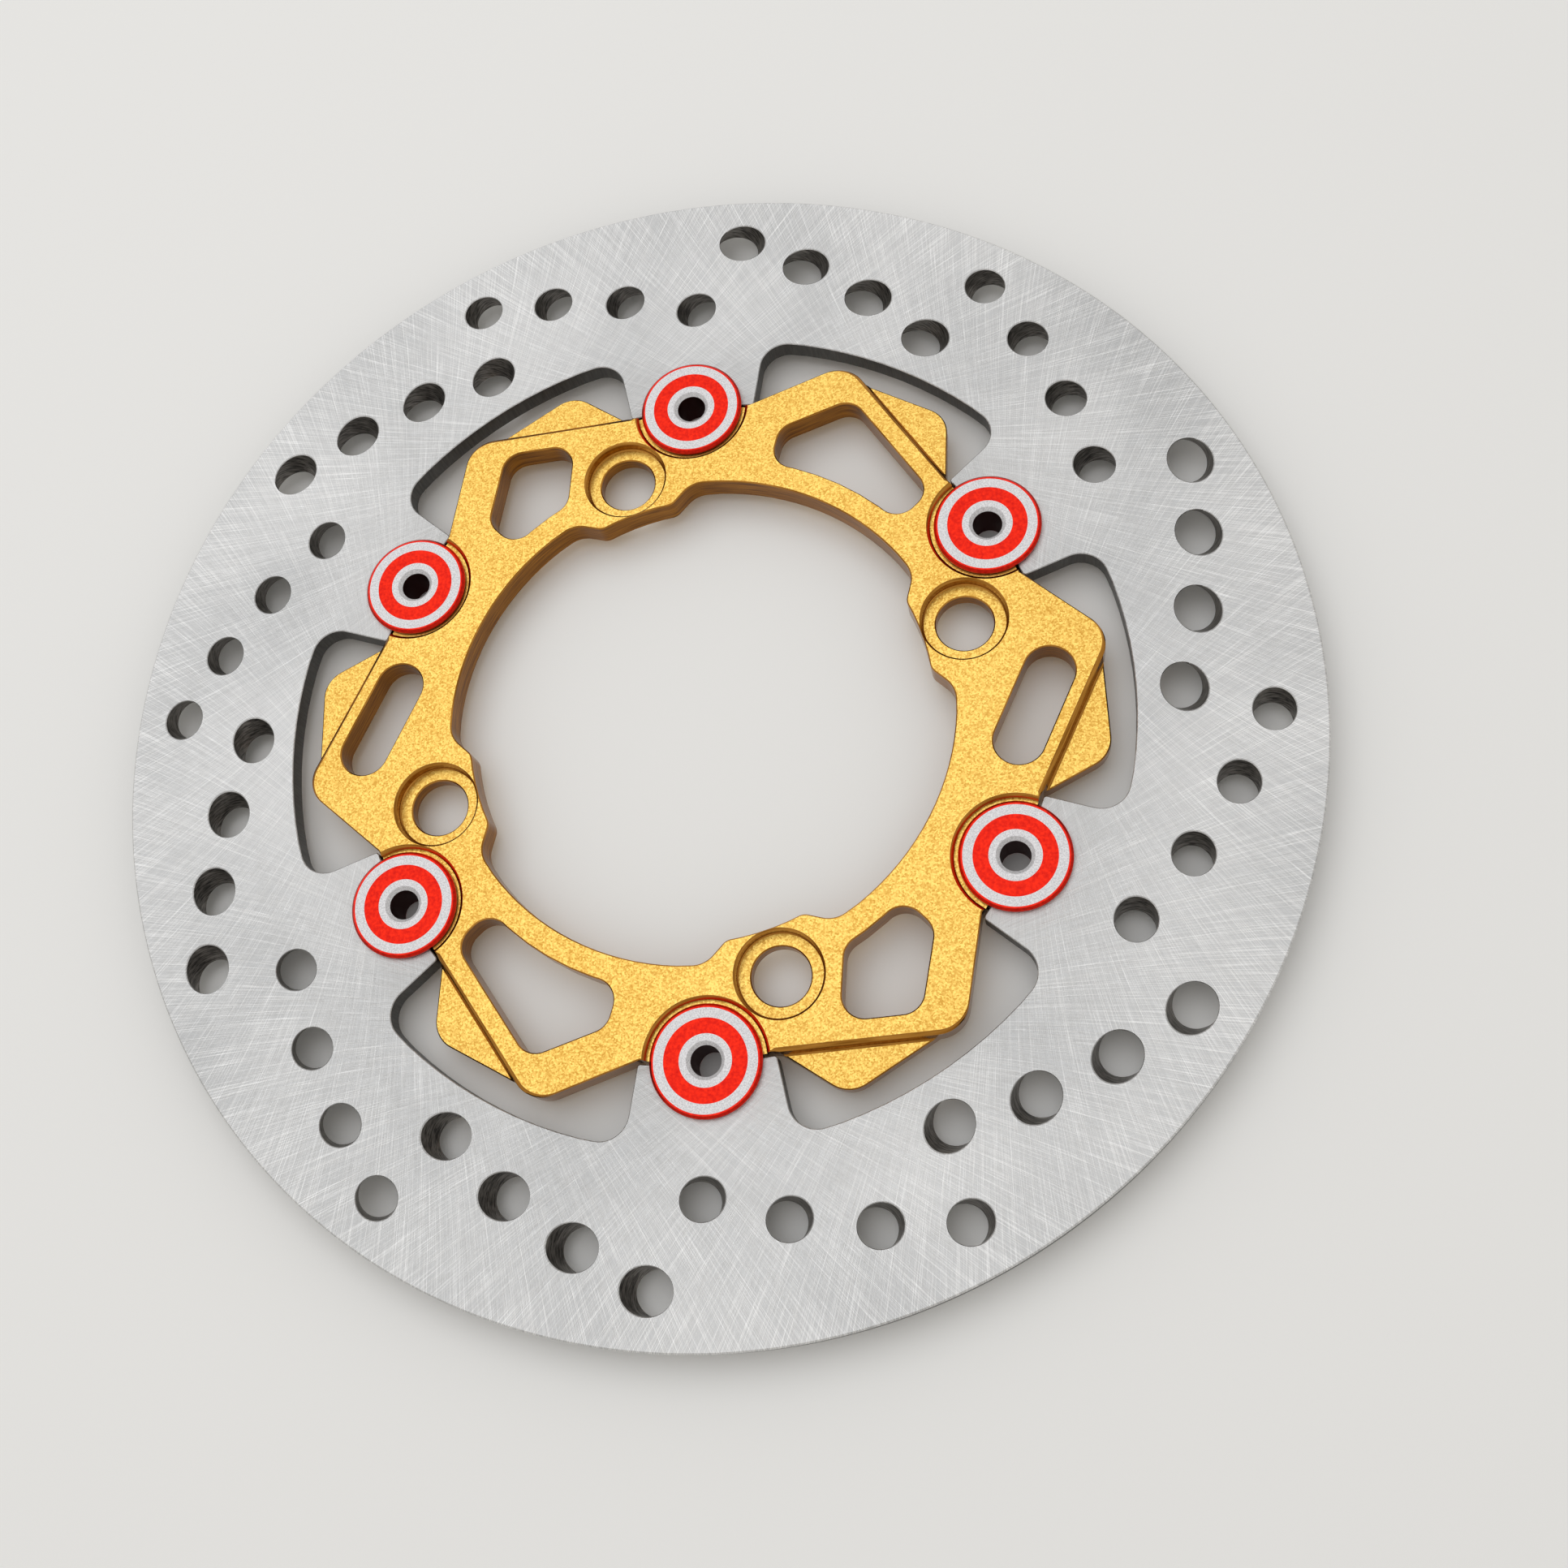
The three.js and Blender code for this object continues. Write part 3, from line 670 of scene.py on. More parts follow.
def drill_rings(spiral, hole, station, chamfer):
    """Rings of a slanted round hole, from the rear face to the front one, and the depth along the
    drill's axis at each point.

    A cylinder of radius r, leaning by s from upright towards the angle l, cuts every level plane in
    the same ellipse, r by r / cos(s), and moves by tan(s) a millimetre of height. A level point at u
    along the lean is at height / cos(s) + u sin(s) on the axis."""
    slant = math.radians(spiral["slant"])
    lean = station + spiral["lean"]
    turn = np.linspace(0, TAU, DRILL_SIDES, endpoint=False)
    radius = spiral["bore"] / 2
    u, v = radius / math.cos(slant) * np.cos(turn), radius * np.sin(turn)
    forward, across = polar(1, lean), polar(1, lean + 90)
    ellipse = np.outer(u, forward) + np.outer(v, across)
    rings, depths = [], []
    for height, flare in upright(BAND_BOTTOM, BAND_TOP, chamfer):
        below = BAND_TOP - height
        shift = polar(hole[0], station + hole[1]) + forward * math.tan(slant) * below
        rings.append(at_height(inset(ellipse, -flare) + shift, height))
        depths.append(below / math.cos(slant) + (ellipse @ forward) * math.sin(slant))
    return np.array(rings), np.array(depths)


def build_band(settings):
    """The ground band: two flat faces, and chamfered walls through them."""
    edge, hole_edge = settings.edge_chamfer / MM, settings.hole_chamfer / MM
    rim = polar(DISC_RADIUS, np.linspace(0, 360, RIM_SIDES, endpoint=False))
    walls = [
        wall(rim, upright(BAND_BOTTOM, BAND_TOP, edge)),
        wall(band_outline(), upright(BAND_BOTTOM, BAND_TOP, -hole_edge)),
    ]
    holes = [
        drill_rings(spiral, hole, station, hole_edge)
        for station in STATIONS
        for spiral in SPIRALS
        for hole in spiral["holes"]
    ]
    part = plate(walls + [rings for rings, _ in holes])
    depths = np.concatenate([depth.ravel() for _, depth in holes])
    start = sum(rings[..., 0].size for rings in walls)
    along = np.zeros(len(part[0]))
    along[start : start + len(depths)] = depths
    return mesh_of("band", part, along)


def band_slots(mesh):
    """Material of each face of the band: 0 on the ground faces, 1 on the rim and the inner edge, and
    2 in the drilled holes."""
    middle, normal = face_data(mesh)
    steep = np.abs(normal[:, 2]) < 0.5
    radius = np.hypot(middle[:, 0], middle[:, 1])
    drilled = (radius > POCKET_RADIUS + 1) & (radius < DISC_RADIUS - 1)
    return np.where(steep, np.where(drilled, 2, 1), 0)


# ---- Carrier ----
def carrier_outline(ledges, out=0):
    """Outer edge of the carrier's six lobes, with their lowered ledges or without. The steps down
    to the ledges are moved outwards by a distance."""
    corners = []
    for station in STATIONS:
        step = line((STEP[0], STEP[1] + out), station)
        trailing, side, front = (line(s, station) for s in (TRAILING, LEDGE_SIDE, LEDGE_FRONT))
        corners.append((polar(CARRIER_EDGE_RADIUS, station + CARRIER_EDGE_START), 0))
        corners.append((meet(step, side), 0))
        if ledges:
            corners.append((meet(side, front), LEDGE_FILLET))
            corners.append((meet(front, step), 0))
        corners.append((meet(step, trailing), PEAK_FILLET))
        edge_end = trailing[0] - math.degrees(math.acos(trailing[1] / CARRIER_EDGE_RADIUS))
        edge = arc((0, 0), CARRIER_EDGE_RADIUS, edge_end, station + SECTOR + CARRIER_EDGE_START)
        corners += [(point, 0) for point in edge[:-1]]
    return rounded(corners)


def bore_outline():
    """Inner edge of the carrier: a bore with four bosses that reach inwards."""
    corners = []
    for boss in BOSSES:
        corners.append((polar(BORE_RADIUS, boss - BOSS_ROOT_HALF_ANGLE), BORE_FILLET))
        face = arc((0, 0), BOSS_INNER_RADIUS, boss - BOSS_HALF_ANGLE, boss + BOSS_HALF_ANGLE, BOSS_STEPS)
        corners += [(point, BOSS_FILLET if i in (0, BOSS_STEPS) else 0) for i, point in enumerate(face)]
        corners.append((polar(BORE_RADIUS, boss + BOSS_ROOT_HALF_ANGLE), BORE_FILLET))
        bore = arc((0, 0), BORE_RADIUS, boss + BOSS_ROOT_HALF_ANGLE, boss + 90 - BOSS_ROOT_HALF_ANGLE)
        corners += [(point, 0) for point in bore[2:-2]]
    return rounded(corners)


def window(sides, station, inner_start):
    """Window whose inner side is an arc about the axis and whose other sides are straight."""
    sides = [line(side, station) for side in sides]
    last = sides[-1]
    corners = [(meet(a, b), WINDOW_FILLET) for a, b in zip(sides, sides[1:])]
    steps = round((last[0] - 90 - inner_start) / WINDOW_ARC_STEP)
    inner = arc((0, 0), WINDOW_INNER_RADIUS, last[0] - 90, inner_start, steps)
    corners += [(point, WINDOW_FILLET if i in (0, steps) else 0) for i, point in enumerate(inner)]
    return rounded(corners)


def triangular_window(station):
    """Window with its point at the lobe's peak."""
    sides = [WINDOW_START, WINDOW_STEP, WINDOW_TRAILING, WINDOW_END]
    return window(sides, station, station + WINDOW_START[0] - 90)


def trapezoid_window(station):
    """Shorter window, which leaves room for a bolt boss."""
    sides = [WINDOW_BOSS, WINDOW_STEP, WINDOW_TRAILING, WINDOW_END]
    turn = math.degrees(math.acos(WINDOW_BOSS[1] / WINDOW_INNER_RADIUS))
    return window(sides, station, station + WINDOW_BOSS[0] - turn)


def slot_window(station):
    """Straight slot with half-round ends."""
    inner, outer = (polar(radius, station + offset) for radius, offset in SLOT_ENDS)
    heading = math.degrees(math.atan2(*(outer - inner)[::-1]))
    near = arc(inner, SLOT_WIDTH / 2, heading + 90, heading + 270)
    far = arc(outer, SLOT_WIDTH / 2, heading - 90, heading + 90)
    return np.concatenate([near, far])


def hole_profile(radius, floor, chamfer):
    """Profile of a hole up to a floor, flaring at the rear face and with a chamfer at the floor."""
    low = CARRIER_BOTTOM
    return [
        (radius + chamfer + PAST, low - PAST),
        (radius, low + chamfer),
        (radius, floor - chamfer),
        (radius + chamfer, floor),
    ]


def build_carrier(settings):
    """The carrier: a ledge plate and a higher plate as one, less its bore, windows, bobbin seats and
    bolt holes. Each cutter flares where it leaves the metal, and so it cuts the chamfer too."""
    c, recess_c, seat_c = settings.chamfer / MM, settings.recess_chamfer / MM, settings.seat_chamfer / MM
    foot, shoulder = settings.step_foot / MM, settings.step_shoulder / MM
    low, high = CARRIER_BOTTOM, CARRIER_TOP
    ledge = high - LEDGE_DROP
    lower = prism(carrier_outline(True), upright(low, ledge, c))
    steps = [
        (low + c, 0, 0),
        (ledge - c, 0, 0),
        (ledge, foot, 0),
        (ledge + foot / 2, foot / 2, 0),
        (high - shoulder, 0, 0),
        (high - c, c - shoulder, 0),
        (high, -shoulder, c),
    ]
    sloped = loft([at_height(inset(carrier_outline(False, out), distance), z) for z, out, distance in steps])
    bounds = prism(carrier_outline(True), [(low, 0), (high + PAST, 0)])
    through = [(low - PAST, -PAST - c), (low + c, 0), (high - c, 0), (high + PAST, -PAST - c)]
    kinds = [triangular_window, trapezoid_window, slot_window]
    cutters = [prism(bore_outline(), through)]
    cutters += [prism(kinds[i % 3](station), through) for i, station in enumerate(STATIONS)]
    recess = [
        (RECESS_RADIUS, BAND_TOP),
        (RECESS_RADIUS, high - recess_c),
        (RECESS_RADIUS + recess_c + PAST, high + PAST),
    ]
    pocket = hole_profile(BOBBIN_POCKET_RADIUS, BAND_TOP, c) + recess
    cutters += [plug(pocket, centre) for centre in BOBBIN_CENTRES]
    seat = [
        (BOLT_SEAT_RADIUS - c, SEAT_FLOOR),
        (BOLT_SEAT_RADIUS, SEAT_FLOOR + c),
        (BOLT_SEAT_RADIUS, high - seat_c),
        (BOLT_SEAT_RADIUS + seat_c + PAST, high + PAST),
    ]
    bolt_hole = hole_profile(BOLT_HOLE_RADIUS, SEAT_FLOOR, c) + seat
    cutters += [plug(bolt_hole, polar(BOLT_CIRCLE, boss)) for boss in BOSSES]
    upper = combine(mesh_of("upper", sloped), mesh_of("bounds", bounds), "INTERSECT")
    mesh = combine(mesh_of("lower", lower), upper, "UNION")
    for cutter in cutters:
        mesh = combine(mesh, mesh_of("cutter", cutter), "DIFFERENCE")
    return merged(mesh)


def carrier_slots(mesh):
    """Material of each face of the carrier: 0 on the blasted flats, 1 on walls, whose darker gold is
    painted shade, 2 on chamfers.
    """
    level = np.abs(face_data(mesh)[1][:, 2])
    return np.where(level > 0.95, 0, np.where(level < 0.3, 1, 2))


# ---- Bobbin and the pieces on it ----
def build_bobbin(settings, node):
    """Turned bobbin: a hollow shank with a clip groove, under a thin wide flange."""
    bottom, top = levels(node)
    rim, hole = settings.rim_chamfer / MM, settings.hole_chamfer / MM
    small = rim / 3
    under = top - FLANGE_THICKNESS
    groove_low, groove_high, groove_radius = GROOVE
    outer_start, outer_end = settings.outer_ring_start / MM, settings.outer_ring_end / MM
    profile = [
        (BOBBIN_BORE_RADIUS + small, bottom),
        (SHANK_RADIUS - small, bottom),
        (SHANK_RADIUS, bottom + small),
        (SHANK_RADIUS, groove_low),
        (groove_radius, groove_low),
        (groove_radius, groove_high),
        (SHANK_RADIUS, groove_high),
        (SHANK_RADIUS, under),
        (FLANGE_RADIUS - small, under),
        (FLANGE_RADIUS, under + small),
        (FLANGE_RADIUS, top - rim),
        (FLANGE_RADIUS - rim, top),
        (outer_end, top),
        (outer_start, top),
        (settings.inner_ring_end / MM, top),
        (BOBBIN_BORE_RADIUS + hole, top),
        (BOBBIN_BORE_RADIUS, top - hole),
        (BOBBIN_BORE_RADIUS, bottom + small),
    ]
    return mesh_of(node, lathe(profile, centre_of(node)))


def bobbin_slots(mesh, settings, node):
    """Material of each face of a bobbin: 1 on the two etched rings of its top, of which the inner
    one runs down the chamfer of the hole, 2 inside the hole, and 0 elsewhere."""
    middle, normal = face_data(mesh)
    radius = np.hypot(*(middle[:, :2] - centre_of(node)).T)
    outer = (radius > settings.outer_ring_start / MM) & (radius < settings.outer_ring_end / MM)
    inner = radius < settings.inner_ring_end / MM
    hole = inner & (np.abs(normal[:, 2]) < 0.5)
    return np.where(hole, 2, np.where((normal[:, 2] > 0.5) & (outer | inner), 1, 0))


def ring_profile(inner, outer, low, high, bevel):
    """Profile of a flat ring with bevelled edges."""
    return [
        (inner + bevel, low),
        (outer - bevel, low),
        (outer, low + bevel),
        (outer, high - bevel),
        (outer - bevel, high),
        (inner + bevel, high),
        (inner, high - bevel),
        (inner, low + bevel),
    ]


def outer_radius(node):
    """Outer radius of a round CAD node."""
    low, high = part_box(node)
    return (high.x - low.x) / MM / 2


def build_flat_washer(settings, node):
    """Stamped ring with a small bevel all round."""
    bevel = settings.washer_edge / MM
    profile = ring_profile(WASHER_INNER_RADIUS, outer_radius(node), *levels(node), bevel)
    return mesh_of(node, lathe(profile, centre_of(node)))


def build_wave_washer(settings, node, station):
    """Ring lifted by a sine wave: height = middle + wave * sin(3 * angle from the station)."""
    bottom, top = levels(node)
    half = WAVE_WASHER_THICKNESS / 2
    wave = (top - bottom) / 2 - half
    bevel = settings.washer_edge / MM / 2
    profile = ring_profile(WASHER_INNER_RADIUS, outer_radius(node), -half, half, bevel)
    points, faces = lathe(profile, centre_of(node))
    away = points[:, :2] - centre_of(node)
    turn = np.arctan2(away[:, 1], away[:, 0]) - math.radians(station)
    points[:, 2] += (bottom + top) / 2 + wave * np.sin(WAVES * turn)
    return mesh_of(node, (points, faces))


def circlip_outline():
    """Open spring ring, widest opposite its opening, with a round-cornered ear at each end. The
    opening faces along X."""
    tip, back, root = CIRCLIP_EAR_FILLETS
    behind = CIRCLIP_OPENING + CIRCLIP_EAR_ANGLE
    foot = behind + CIRCLIP_EAR_FOOT
    inner = arc((0, 0), CIRCLIP_INNER_RADIUS, CIRCLIP_OPENING, 360 - CIRCLIP_OPENING)[::-1]
    outer = arc((-CIRCLIP_OFFSET, 0), CIRCLIP_OUTER_RADIUS, foot, 360 - foot)
    corners = [(polar(CIRCLIP_EAR_RADIUS, CIRCLIP_OPENING), tip), (polar(CIRCLIP_EAR_RADIUS, behind), back)]
    corners += arc_corners(outer, root)
    corners.append((polar(CIRCLIP_EAR_RADIUS, -behind), back))
    corners.append((polar(CIRCLIP_EAR_RADIUS, -CIRCLIP_OPENING), tip))
    return rounded(corners + [(point, 0) for point in inner])


def build_circlip(settings, node, centre, turn):
    """Circlip with a plier hole in each ear, turned about its own axis."""
    bottom, top = levels(node)
    reach = (CIRCLIP_INNER_RADIUS + CIRCLIP_EAR_RADIUS) / 2
    middle = CIRCLIP_OPENING + CIRCLIP_EAR_ANGLE / 2
    holes = [
        arc(polar(reach, angle), CIRCLIP_EAR_HOLE_RADIUS, 0, 360, CIRCLIP_EAR_HOLE_STEPS)[:-1]
        for angle in (middle, -middle)
    ]
    bevel = settings.washer_edge / MM / 2
    matrix = np.array([polar(1, turn), polar(1, turn + 90)])
    walls = [wall(circlip_outline() @ matrix + centre, upright(bottom, top, bevel))]
    walls += [wall(hole @ matrix + centre, upright(bottom, top, -bevel)) for hole in holes]
    return mesh_of(node, plate(walls))


# ---- Settings ----
def length(name, default, description):
    """A size in Blender's metres."""
    shown = {"name": name, "description": description, "precision": 5}
    return bpy.props.FloatProperty(default=default, subtype="DISTANCE", unit="LENGTH", **shown)


def colour(name, default, description):
    """A colour, whose default is given as sRGB hex."""
    shown = {"name": name, "description": description, "size": 4, "min": 0, "max": 1}
    return bpy.props.FloatVectorProperty(default=linear(default), subtype="COLOR", **shown)


class DISC_PG_band(bpy.types.PropertyGroup):
    """Sizes and colours of the braking band."""

    edge_chamfer: length("Rim chamfer", 0.3 * MM, "Chamfer on the outer rim")
    hole_chamfer: length("Hole chamfer", 0.15 * MM, "Chamfer on the holes and the inner edge")
    wheel_radius: length("Grinding wheel", 328 * MM, "Radius of the wheel whose rim drew the scratches")
    wheel_distance: length("Wheel distance", 388 * MM, "Distance of the wheel's centre from the disc's axis")
    scratch_spacing: length("Scratch spacing", 0.16 * MM, "Distance between scratches at the rim")
    scratch_stretch: bpy.props.FloatProperty(
        name="Scratch stretch", default=0.07, description="Change along a scratch for each millimetre"
    )
    steel_dark: colour("Steel, dark", "#ABABAA", "Ground steel between scratches")
    steel_light: colour("Steel, light", "#F4F3F1", "Ground steel on fresh scratches")
    # The edge colours are partly the cut's dark skin and partly painted shade; the drilling colours are
    # darker as painted shade in the holes
    edge_dark: colour("Edge, dark", "#3C3C3B", "Laser-cut edge in its ripples")
    edge_light: colour("Edge, light", "#6E6D6A", "Laser-cut edge on its ripples")
    drill_dark: colour("Drilling, dark", "#4B4846", "Drilled wall in its rings")
    drill_light: colour("Drilling, light", "#A09B95", "Drilled wall on its rings")


class DISC_PG_carrier(bpy.types.PropertyGroup):
    """Sizes and colours of the carrier."""

    chamfer: length("Chamfer", 0.22 * MM, "Chamfer on outlines, windows and holes")
    recess_chamfer: length("Recess chamfer", 0.65 * MM, "Chamfer on the bobbin recesses")
    seat_chamfer: length("Seat chamfer", 0.4 * MM, "Chamfer on the bolt recesses")
    step_foot: length("Step foot", 0.65 * MM, "How far the foot of a ledge's step runs out")
    step_shoulder: length("Step shoulder", 0.5 * MM, "Chamfer on top of a ledge's step")
    grain: length("Grain", 0.27 * MM, "Size of the dents that the bead blasting left")
    # The two gold colours are the ends of the painted glints and the painted shade of the dents
    gold_dark: colour("Gold, dark", "#C98C2C", "Blasted gold in its dents")
    gold_light: colour("Gold, light", "#F6D070", "Blasted gold on its glints")
    # The wall colours are darker than the milled gold's own, as painted shade on the carrier's walls and
    # steps
    shaded_wall_dark: colour("Wall, dark", "#6E4310", "Milled gold in its cutter lines")
    shaded_wall_light: colour("Wall, light", "#A86F20", "Milled gold between them")
    chamfer_dark: colour("Chamfer, dark", "#96601F", "Milled chamfer in its cutter lines")
    chamfer_light: colour("Chamfer, light", "#CF9240", "Milled chamfer between them")


class DISC_PG_bobbin(bpy.types.PropertyGroup):
    """Sizes and colours of the bobbins."""

    rim_chamfer: length("Rim chamfer", 0.45 * MM, "Chamfer on the flange's rim")
    hole_chamfer: length("Hole chamfer", 0.65 * MM, "Chamfer on the hole in the flange")
    outer_ring_start: length("Outer ring, inside", 7.3 * MM, "Inner radius of the outer etched ring")
    outer_ring_end: length("Outer ring, outside", 9.05 * MM, "Outer radius of the outer etched ring")
    inner_ring_end: length("Inner ring, outside", 4.6 * MM, "Outer radius of the inner etched ring")
    red_dark: colour("Red, dark", "#BC1409", "Red oxide where it is thick")
    red_light: colour("Red, light", "#E2270F", "Red oxide where it is thin")
    etch_dark: colour("Etched ring, dark", "#C6C4C5", "Etched aluminium in its pits")
    etch_light: colour("Etched ring, light", "#EFEDED", "Etched aluminium between them")
    # The bore colour is red oxide darkened to near black, as painted shade inside the bobbin's hole
    bore_painted_shade: colour("Bore", "#3E100C", "Red oxide inside the hole, darkened as painted shade")


class DISC_PG_hardware(bpy.types.PropertyGroup):
    """Sizes and colours of the washers and circlips."""

    washer_edge: length("Edge", 0.08 * MM, "Small bevel on the edges of washers and circlips")
    spring_dark: colour("Spring steel, dark", "#262524", "Blackened spring steel")
    spring_light: colour("Spring steel, light", "#4A4744", "Blackened spring steel where it is worn")
    washer_dark: colour("Washer, dark", "#A3A29F", "Tumbled stainless steel in its scuffs")
    washer_light: colour("Washer, light", "#C6C5C2", "Tumbled stainless steel")


class DISC_PG_stage(bpy.types.PropertyGroup):
    """Floor, light and camera."""

    floor_colour: colour("Floor", "#F4F3F0", "Plain pale floor")
    backdrop_colour: colour("Backdrop", "#DCDBD8", "Plain pale backdrop")
    room_colour: colour("Room light colour", "#FBF9F6", "Colour of the light from all round")
    room_strength: bpy.props.FloatProperty(name="Room light", default=0.66, description="Its strength")
    lamp_colour: colour("Softbox colour", "#F5F9FF", "Colour of the softbox")
    lamp_power: bpy.props.FloatProperty(
        name="Softbox power", default=3.5, description="Power of the softbox", subtype="POWER", unit="POWER"
    )
    focal_length: bpy.props.FloatProperty(
        name="Focal length",
        default=38.44,
        description="Lens of the camera, in millimetres",
        subtype="DISTANCE_CAMERA",
    )


# ---- Operators ----
class DISC_OT_band(bpy.types.Operator):
    """Build the drilled steel band that the pads press on"""

    bl_idname = "disc.band"
    bl_label = "Braking band"

    def execute(self, context):
        settings = context.scene.disc_band
        mesh = build_band(settings)
        materials = [ground_steel(settings), cut_edge_steel(settings), drilled_steel(settings)]
        place_piece("braking_band_ground", mesh, "braking_band", materials, band_slots(mesh))
        return {"FINISHED"}


class DISC_OT_carrier(bpy.types.Operator):
    """Build the gold anodised carrier with its ledges, windows, recesses and bolt holes"""

    bl_idname = "disc.carrier"
    bl_label = "Rotor carrier"

    def execute(self, context):
        settings = context.scene.disc_carrier
        mesh = build_carrier(settings)
        # The walls' material has darker colours, which are painted shade
        walls = milled_gold("milled_gold_walls_painted_shade", settings.shaded_wall_dark, settings.shaded_wall_light)
        chamfers = milled_gold("milled_gold_chamfers", settings.chamfer_dark, settings.chamfer_light)
        materials = [blasted_gold(settings), walls, chamfers]
        slots = carrier_slots(mesh)
        place_piece("rotor_carrier_anodised", mesh, "rotor_carrier", materials, slots)
        return {"FINISHED"}


class DISC_OT_bobbins(bpy.types.Operator):
    """Turn the six red bobbins with their etched rings"""

    bl_idname = "disc.bobbins"
    bl_label = "Bobbins"

    def execute(self, context):
        settings = context.scene.disc_bobbin
        materials = [red_anodised(settings), etched_ring(settings), anodised_bore(settings)]
        for k in range(1, BOBBINS + 1):
            node = f"bobbin_{k}"
            mesh = build_bobbin(settings, node)
            slots = bobbin_slots(mesh, settings, node)
            place_piece(f"bobbin_turned_{k}", mesh, node, materials, slots)
        return {"FINISHED"}


class DISC_OT_washers(bpy.types.Operator):
    """Build the flat washers and the wave washers under the disc"""

    bl_idname = "disc.washers"
    bl_label = "Washers"

    def execute(self, context):
        settings = context.scene.disc_hardware
        stainless, spring = [washer_steel(settings)], [spring_steel(settings)]
        for k, station in enumerate(STATIONS, 1):
            flat_node, wave_node = f"flat_washer_{k}", f"wave_washer_{k}"
            mesh = build_flat_washer(settings, flat_node)
            place_piece(f"flat_washer_stamped_{k}", mesh, flat_node, stainless)
            mesh = build_wave_washer(settings, wave_node, station)
            place_piece(f"wave_washer_sprung_{k}", mesh, wave_node, spring)
        return {"FINISHED"}


class DISC_OT_circlips(bpy.types.Operator):
    """Build the circlips that hold the bobbins in"""

    bl_idname = "disc.circlips"
    bl_label = "Circlips"

    def execute(self, context):
        settings = context.scene.disc_hardware
        spring = [bpy.data.materials.get("blackened_spring_steel") or spring_steel(settings)]
        for k, (station, centre) in enumerate(zip(STATIONS, BOBBIN_CENTRES)):
            node = f"circlip_{k + 1}"
            mesh = build_circlip(settings, node, centre, station + CIRCLIP_TURN * k)
            place_piece(f"circlip_sprung_{k + 1}", mesh, node, spring)
        return {"FINISHED"}


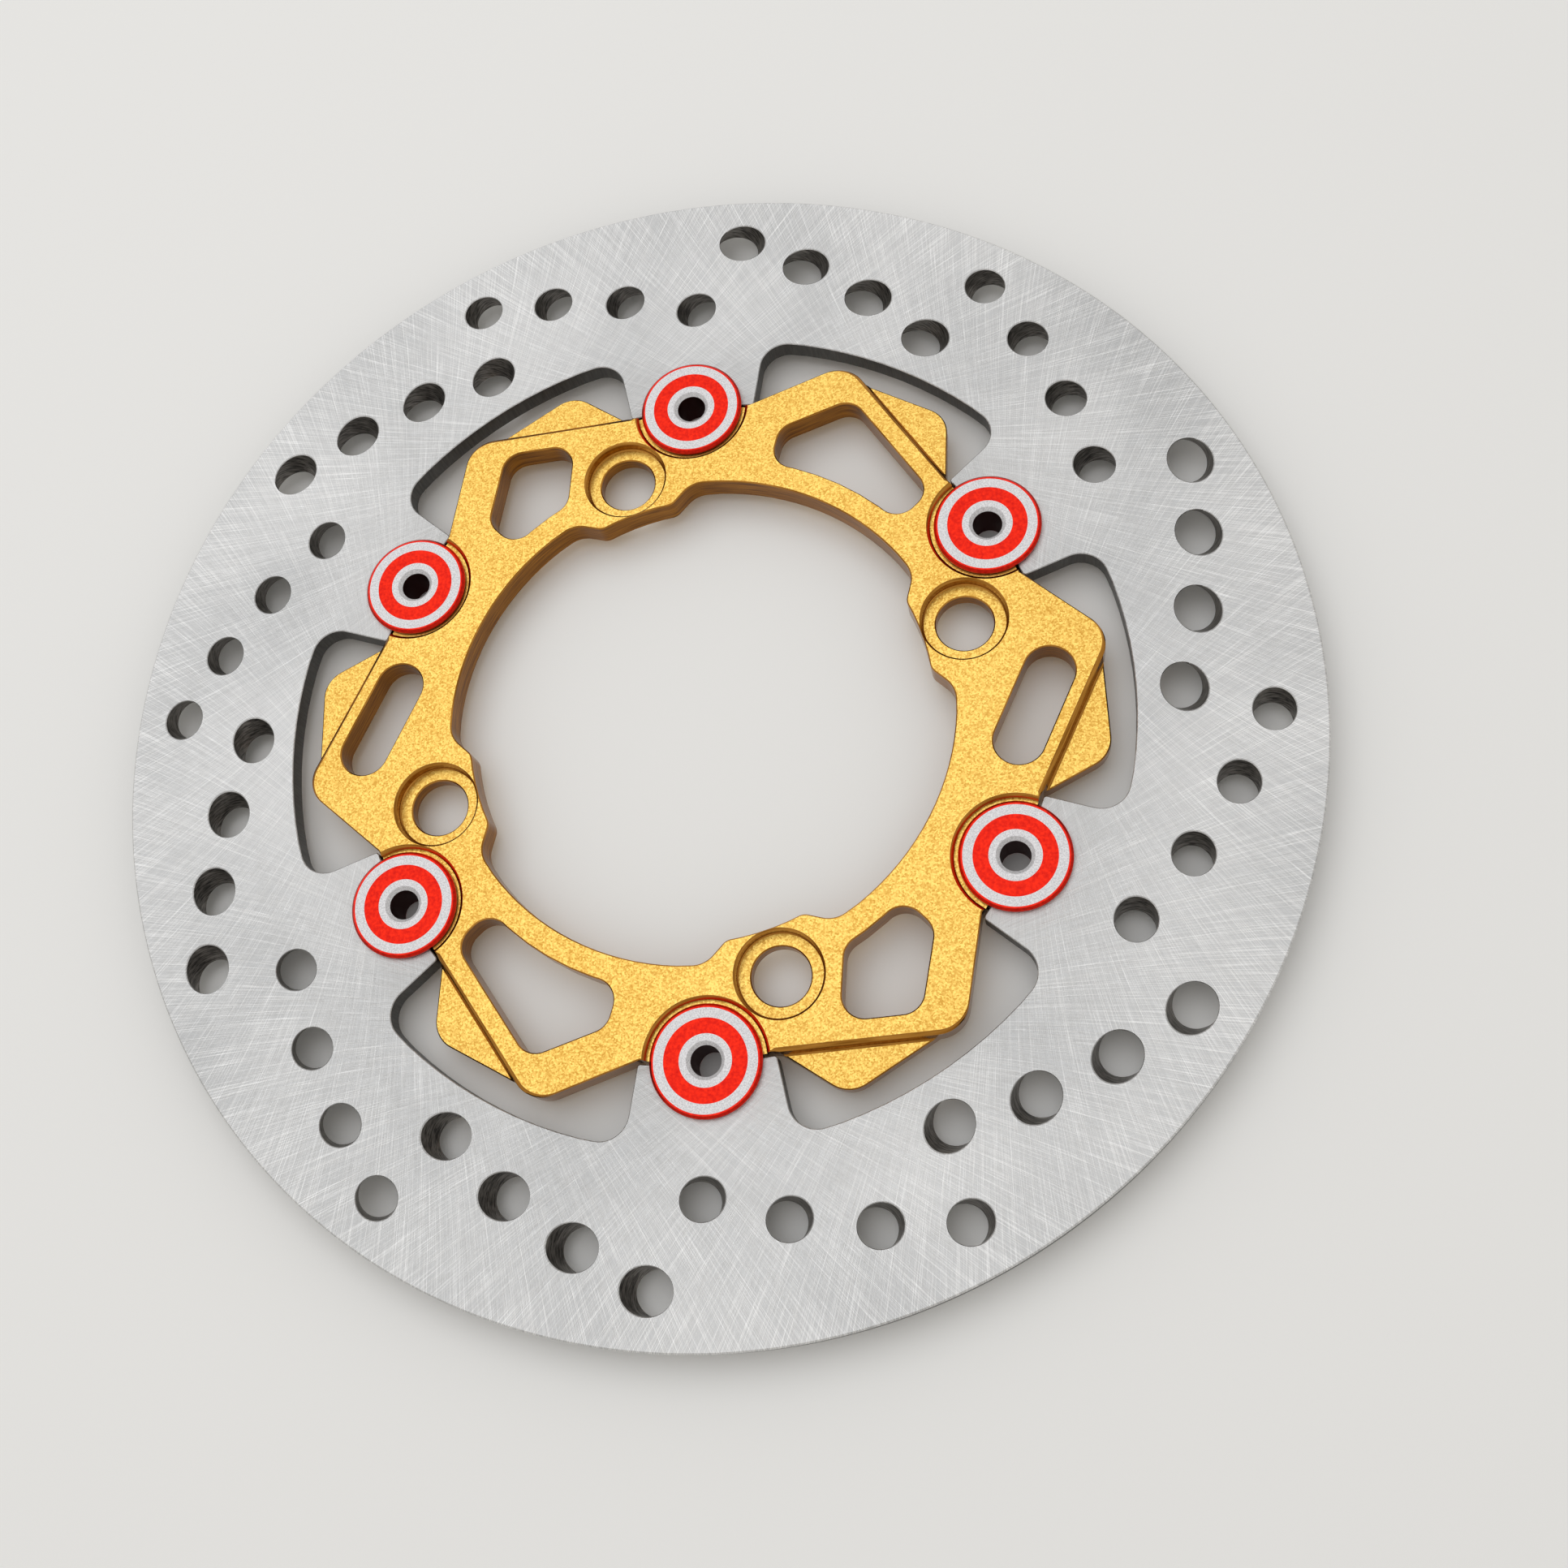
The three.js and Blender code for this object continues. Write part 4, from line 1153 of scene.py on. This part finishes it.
class DISC_OT_stage(bpy.types.Operator):
    """Set the floor, the soft light and the camera"""

    bl_idname = "disc.stage"
    bl_label = "Stage"

    def execute(self, context):
        settings = context.scene.disc_stage
        scene = context.scene
        scene.view_settings.view_transform = "Standard"
        self.floor(scene, settings)
        self.light(scene, settings)
        self.camera(scene, settings)
        return {"FINISHED"}

    def floor(self, scene, settings):
        """Plain matt floor under the disc."""
        corners = np.array([(-1, -1, 0), (1, -1, 0), (1, 1, 0), (-1, 1, 0)]) * FLOOR_HALF
        mesh = bpy.data.meshes.new("floor")
        mesh.from_pydata((corners + (0, 0, cad_low.z)).tolist(), [], [(0, 1, 2, 3)])
        paint = {"Base Color": settings.floor_colour, "Roughness": 0.7}
        mesh.materials.append(new_material("matt_floor_paint", **paint)[0])
        floor = bpy.data.objects.new("floor", mesh)
        scene.collection.objects.link(floor)

    def light(self, scene, settings):
        """Even light from the room, and a big softbox high on the left."""
        world = bpy.data.worlds.new("room")
        scene.world = world
        world.use_nodes = True
        world.node_tree.nodes.clear()
        tree = world.node_tree
        room = add(tree, "Background", {"Color": settings.room_colour, "Strength": settings.room_strength})
        backdrop = add(tree, "Background", {"Color": settings.backdrop_colour})
        seen = add(tree, "LightPath").outputs["Is Camera Ray"]
        mixed = add(tree, "MixShader", {0: seen, 1: room.outputs[0], 2: backdrop.outputs[0]})
        add(tree, "OutputWorld", {"Surface": mixed.outputs[0]})
        lamp = bpy.data.lights.new("softbox", "AREA")
        lamp.shape = "DISK"
        lamp.size = SOFTBOX_SIZE
        lamp.color = settings.lamp_colour[:3]
        lamp.energy = settings.lamp_power
        softbox = bpy.data.objects.new("softbox", lamp)
        softbox.location = SOFTBOX_PLACE
        softbox.rotation_euler = softbox.location.to_track_quat("Z", "Y").to_euler()
        scene.collection.objects.link(softbox)

    def camera(self, scene, settings):
        """Camera above the disc, a little towards its near side."""
        lens = bpy.data.cameras.new("camera")
        lens.lens = settings.focal_length
        lens.clip_start = CAMERA_NEAREST
        camera = bpy.data.objects.new("camera", lens)
        camera.location = CAMERA_PLACE
        camera.rotation_euler = [math.radians(angle) for angle in CAMERA_TURN]
        scene.collection.objects.link(camera)
        scene.camera = camera


class DISC_PT_panel(bpy.types.Panel):
    """Settings and build buttons of the brake disc"""

    bl_idname = "DISC_PT_panel"
    bl_label = "Floating brake disc"
    bl_space_type = "VIEW_3D"
    bl_region_type = "UI"
    bl_category = "Brake disc"

    def draw(self, context):
        for name, operators in BUTTONS.items():
            group = getattr(context.scene, name)
            box = self.layout.box()
            for key in group.__annotations__:
                box.prop(group, key)
            for operator in operators:
                box.operator(operator)


GROUPS = {
    "disc_band": DISC_PG_band,
    "disc_carrier": DISC_PG_carrier,
    "disc_bobbin": DISC_PG_bobbin,
    "disc_hardware": DISC_PG_hardware,
    "disc_stage": DISC_PG_stage,
}
BUTTONS = {
    "disc_band": ["disc.band"],
    "disc_carrier": ["disc.carrier"],
    "disc_bobbin": ["disc.bobbins"],
    "disc_hardware": ["disc.washers", "disc.circlips"],
    "disc_stage": ["disc.stage"],
}
OPERATORS = [DISC_OT_band, DISC_OT_carrier, DISC_OT_bobbins, DISC_OT_washers, DISC_OT_circlips, DISC_OT_stage]


def register():
    for item in [*GROUPS.values(), *OPERATORS, DISC_PT_panel]:
        bpy.utils.register_class(item)
    for name, group in GROUPS.items():
        setattr(bpy.types.Scene, name, bpy.props.PointerProperty(type=group))


def unregister():
    for name in GROUPS:
        delattr(bpy.types.Scene, name)
    for item in [DISC_PT_panel, *reversed(OPERATORS), *GROUPS.values()]:
        bpy.utils.unregister_class(item)


def main():
    """Build the whole disc."""
    register()
    bpy.ops.disc.band()
    bpy.ops.disc.carrier()
    bpy.ops.disc.bobbins()
    bpy.ops.disc.washers()
    bpy.ops.disc.circlips()
    bpy.ops.disc.stage()


if __name__ == "__main__":
    main()
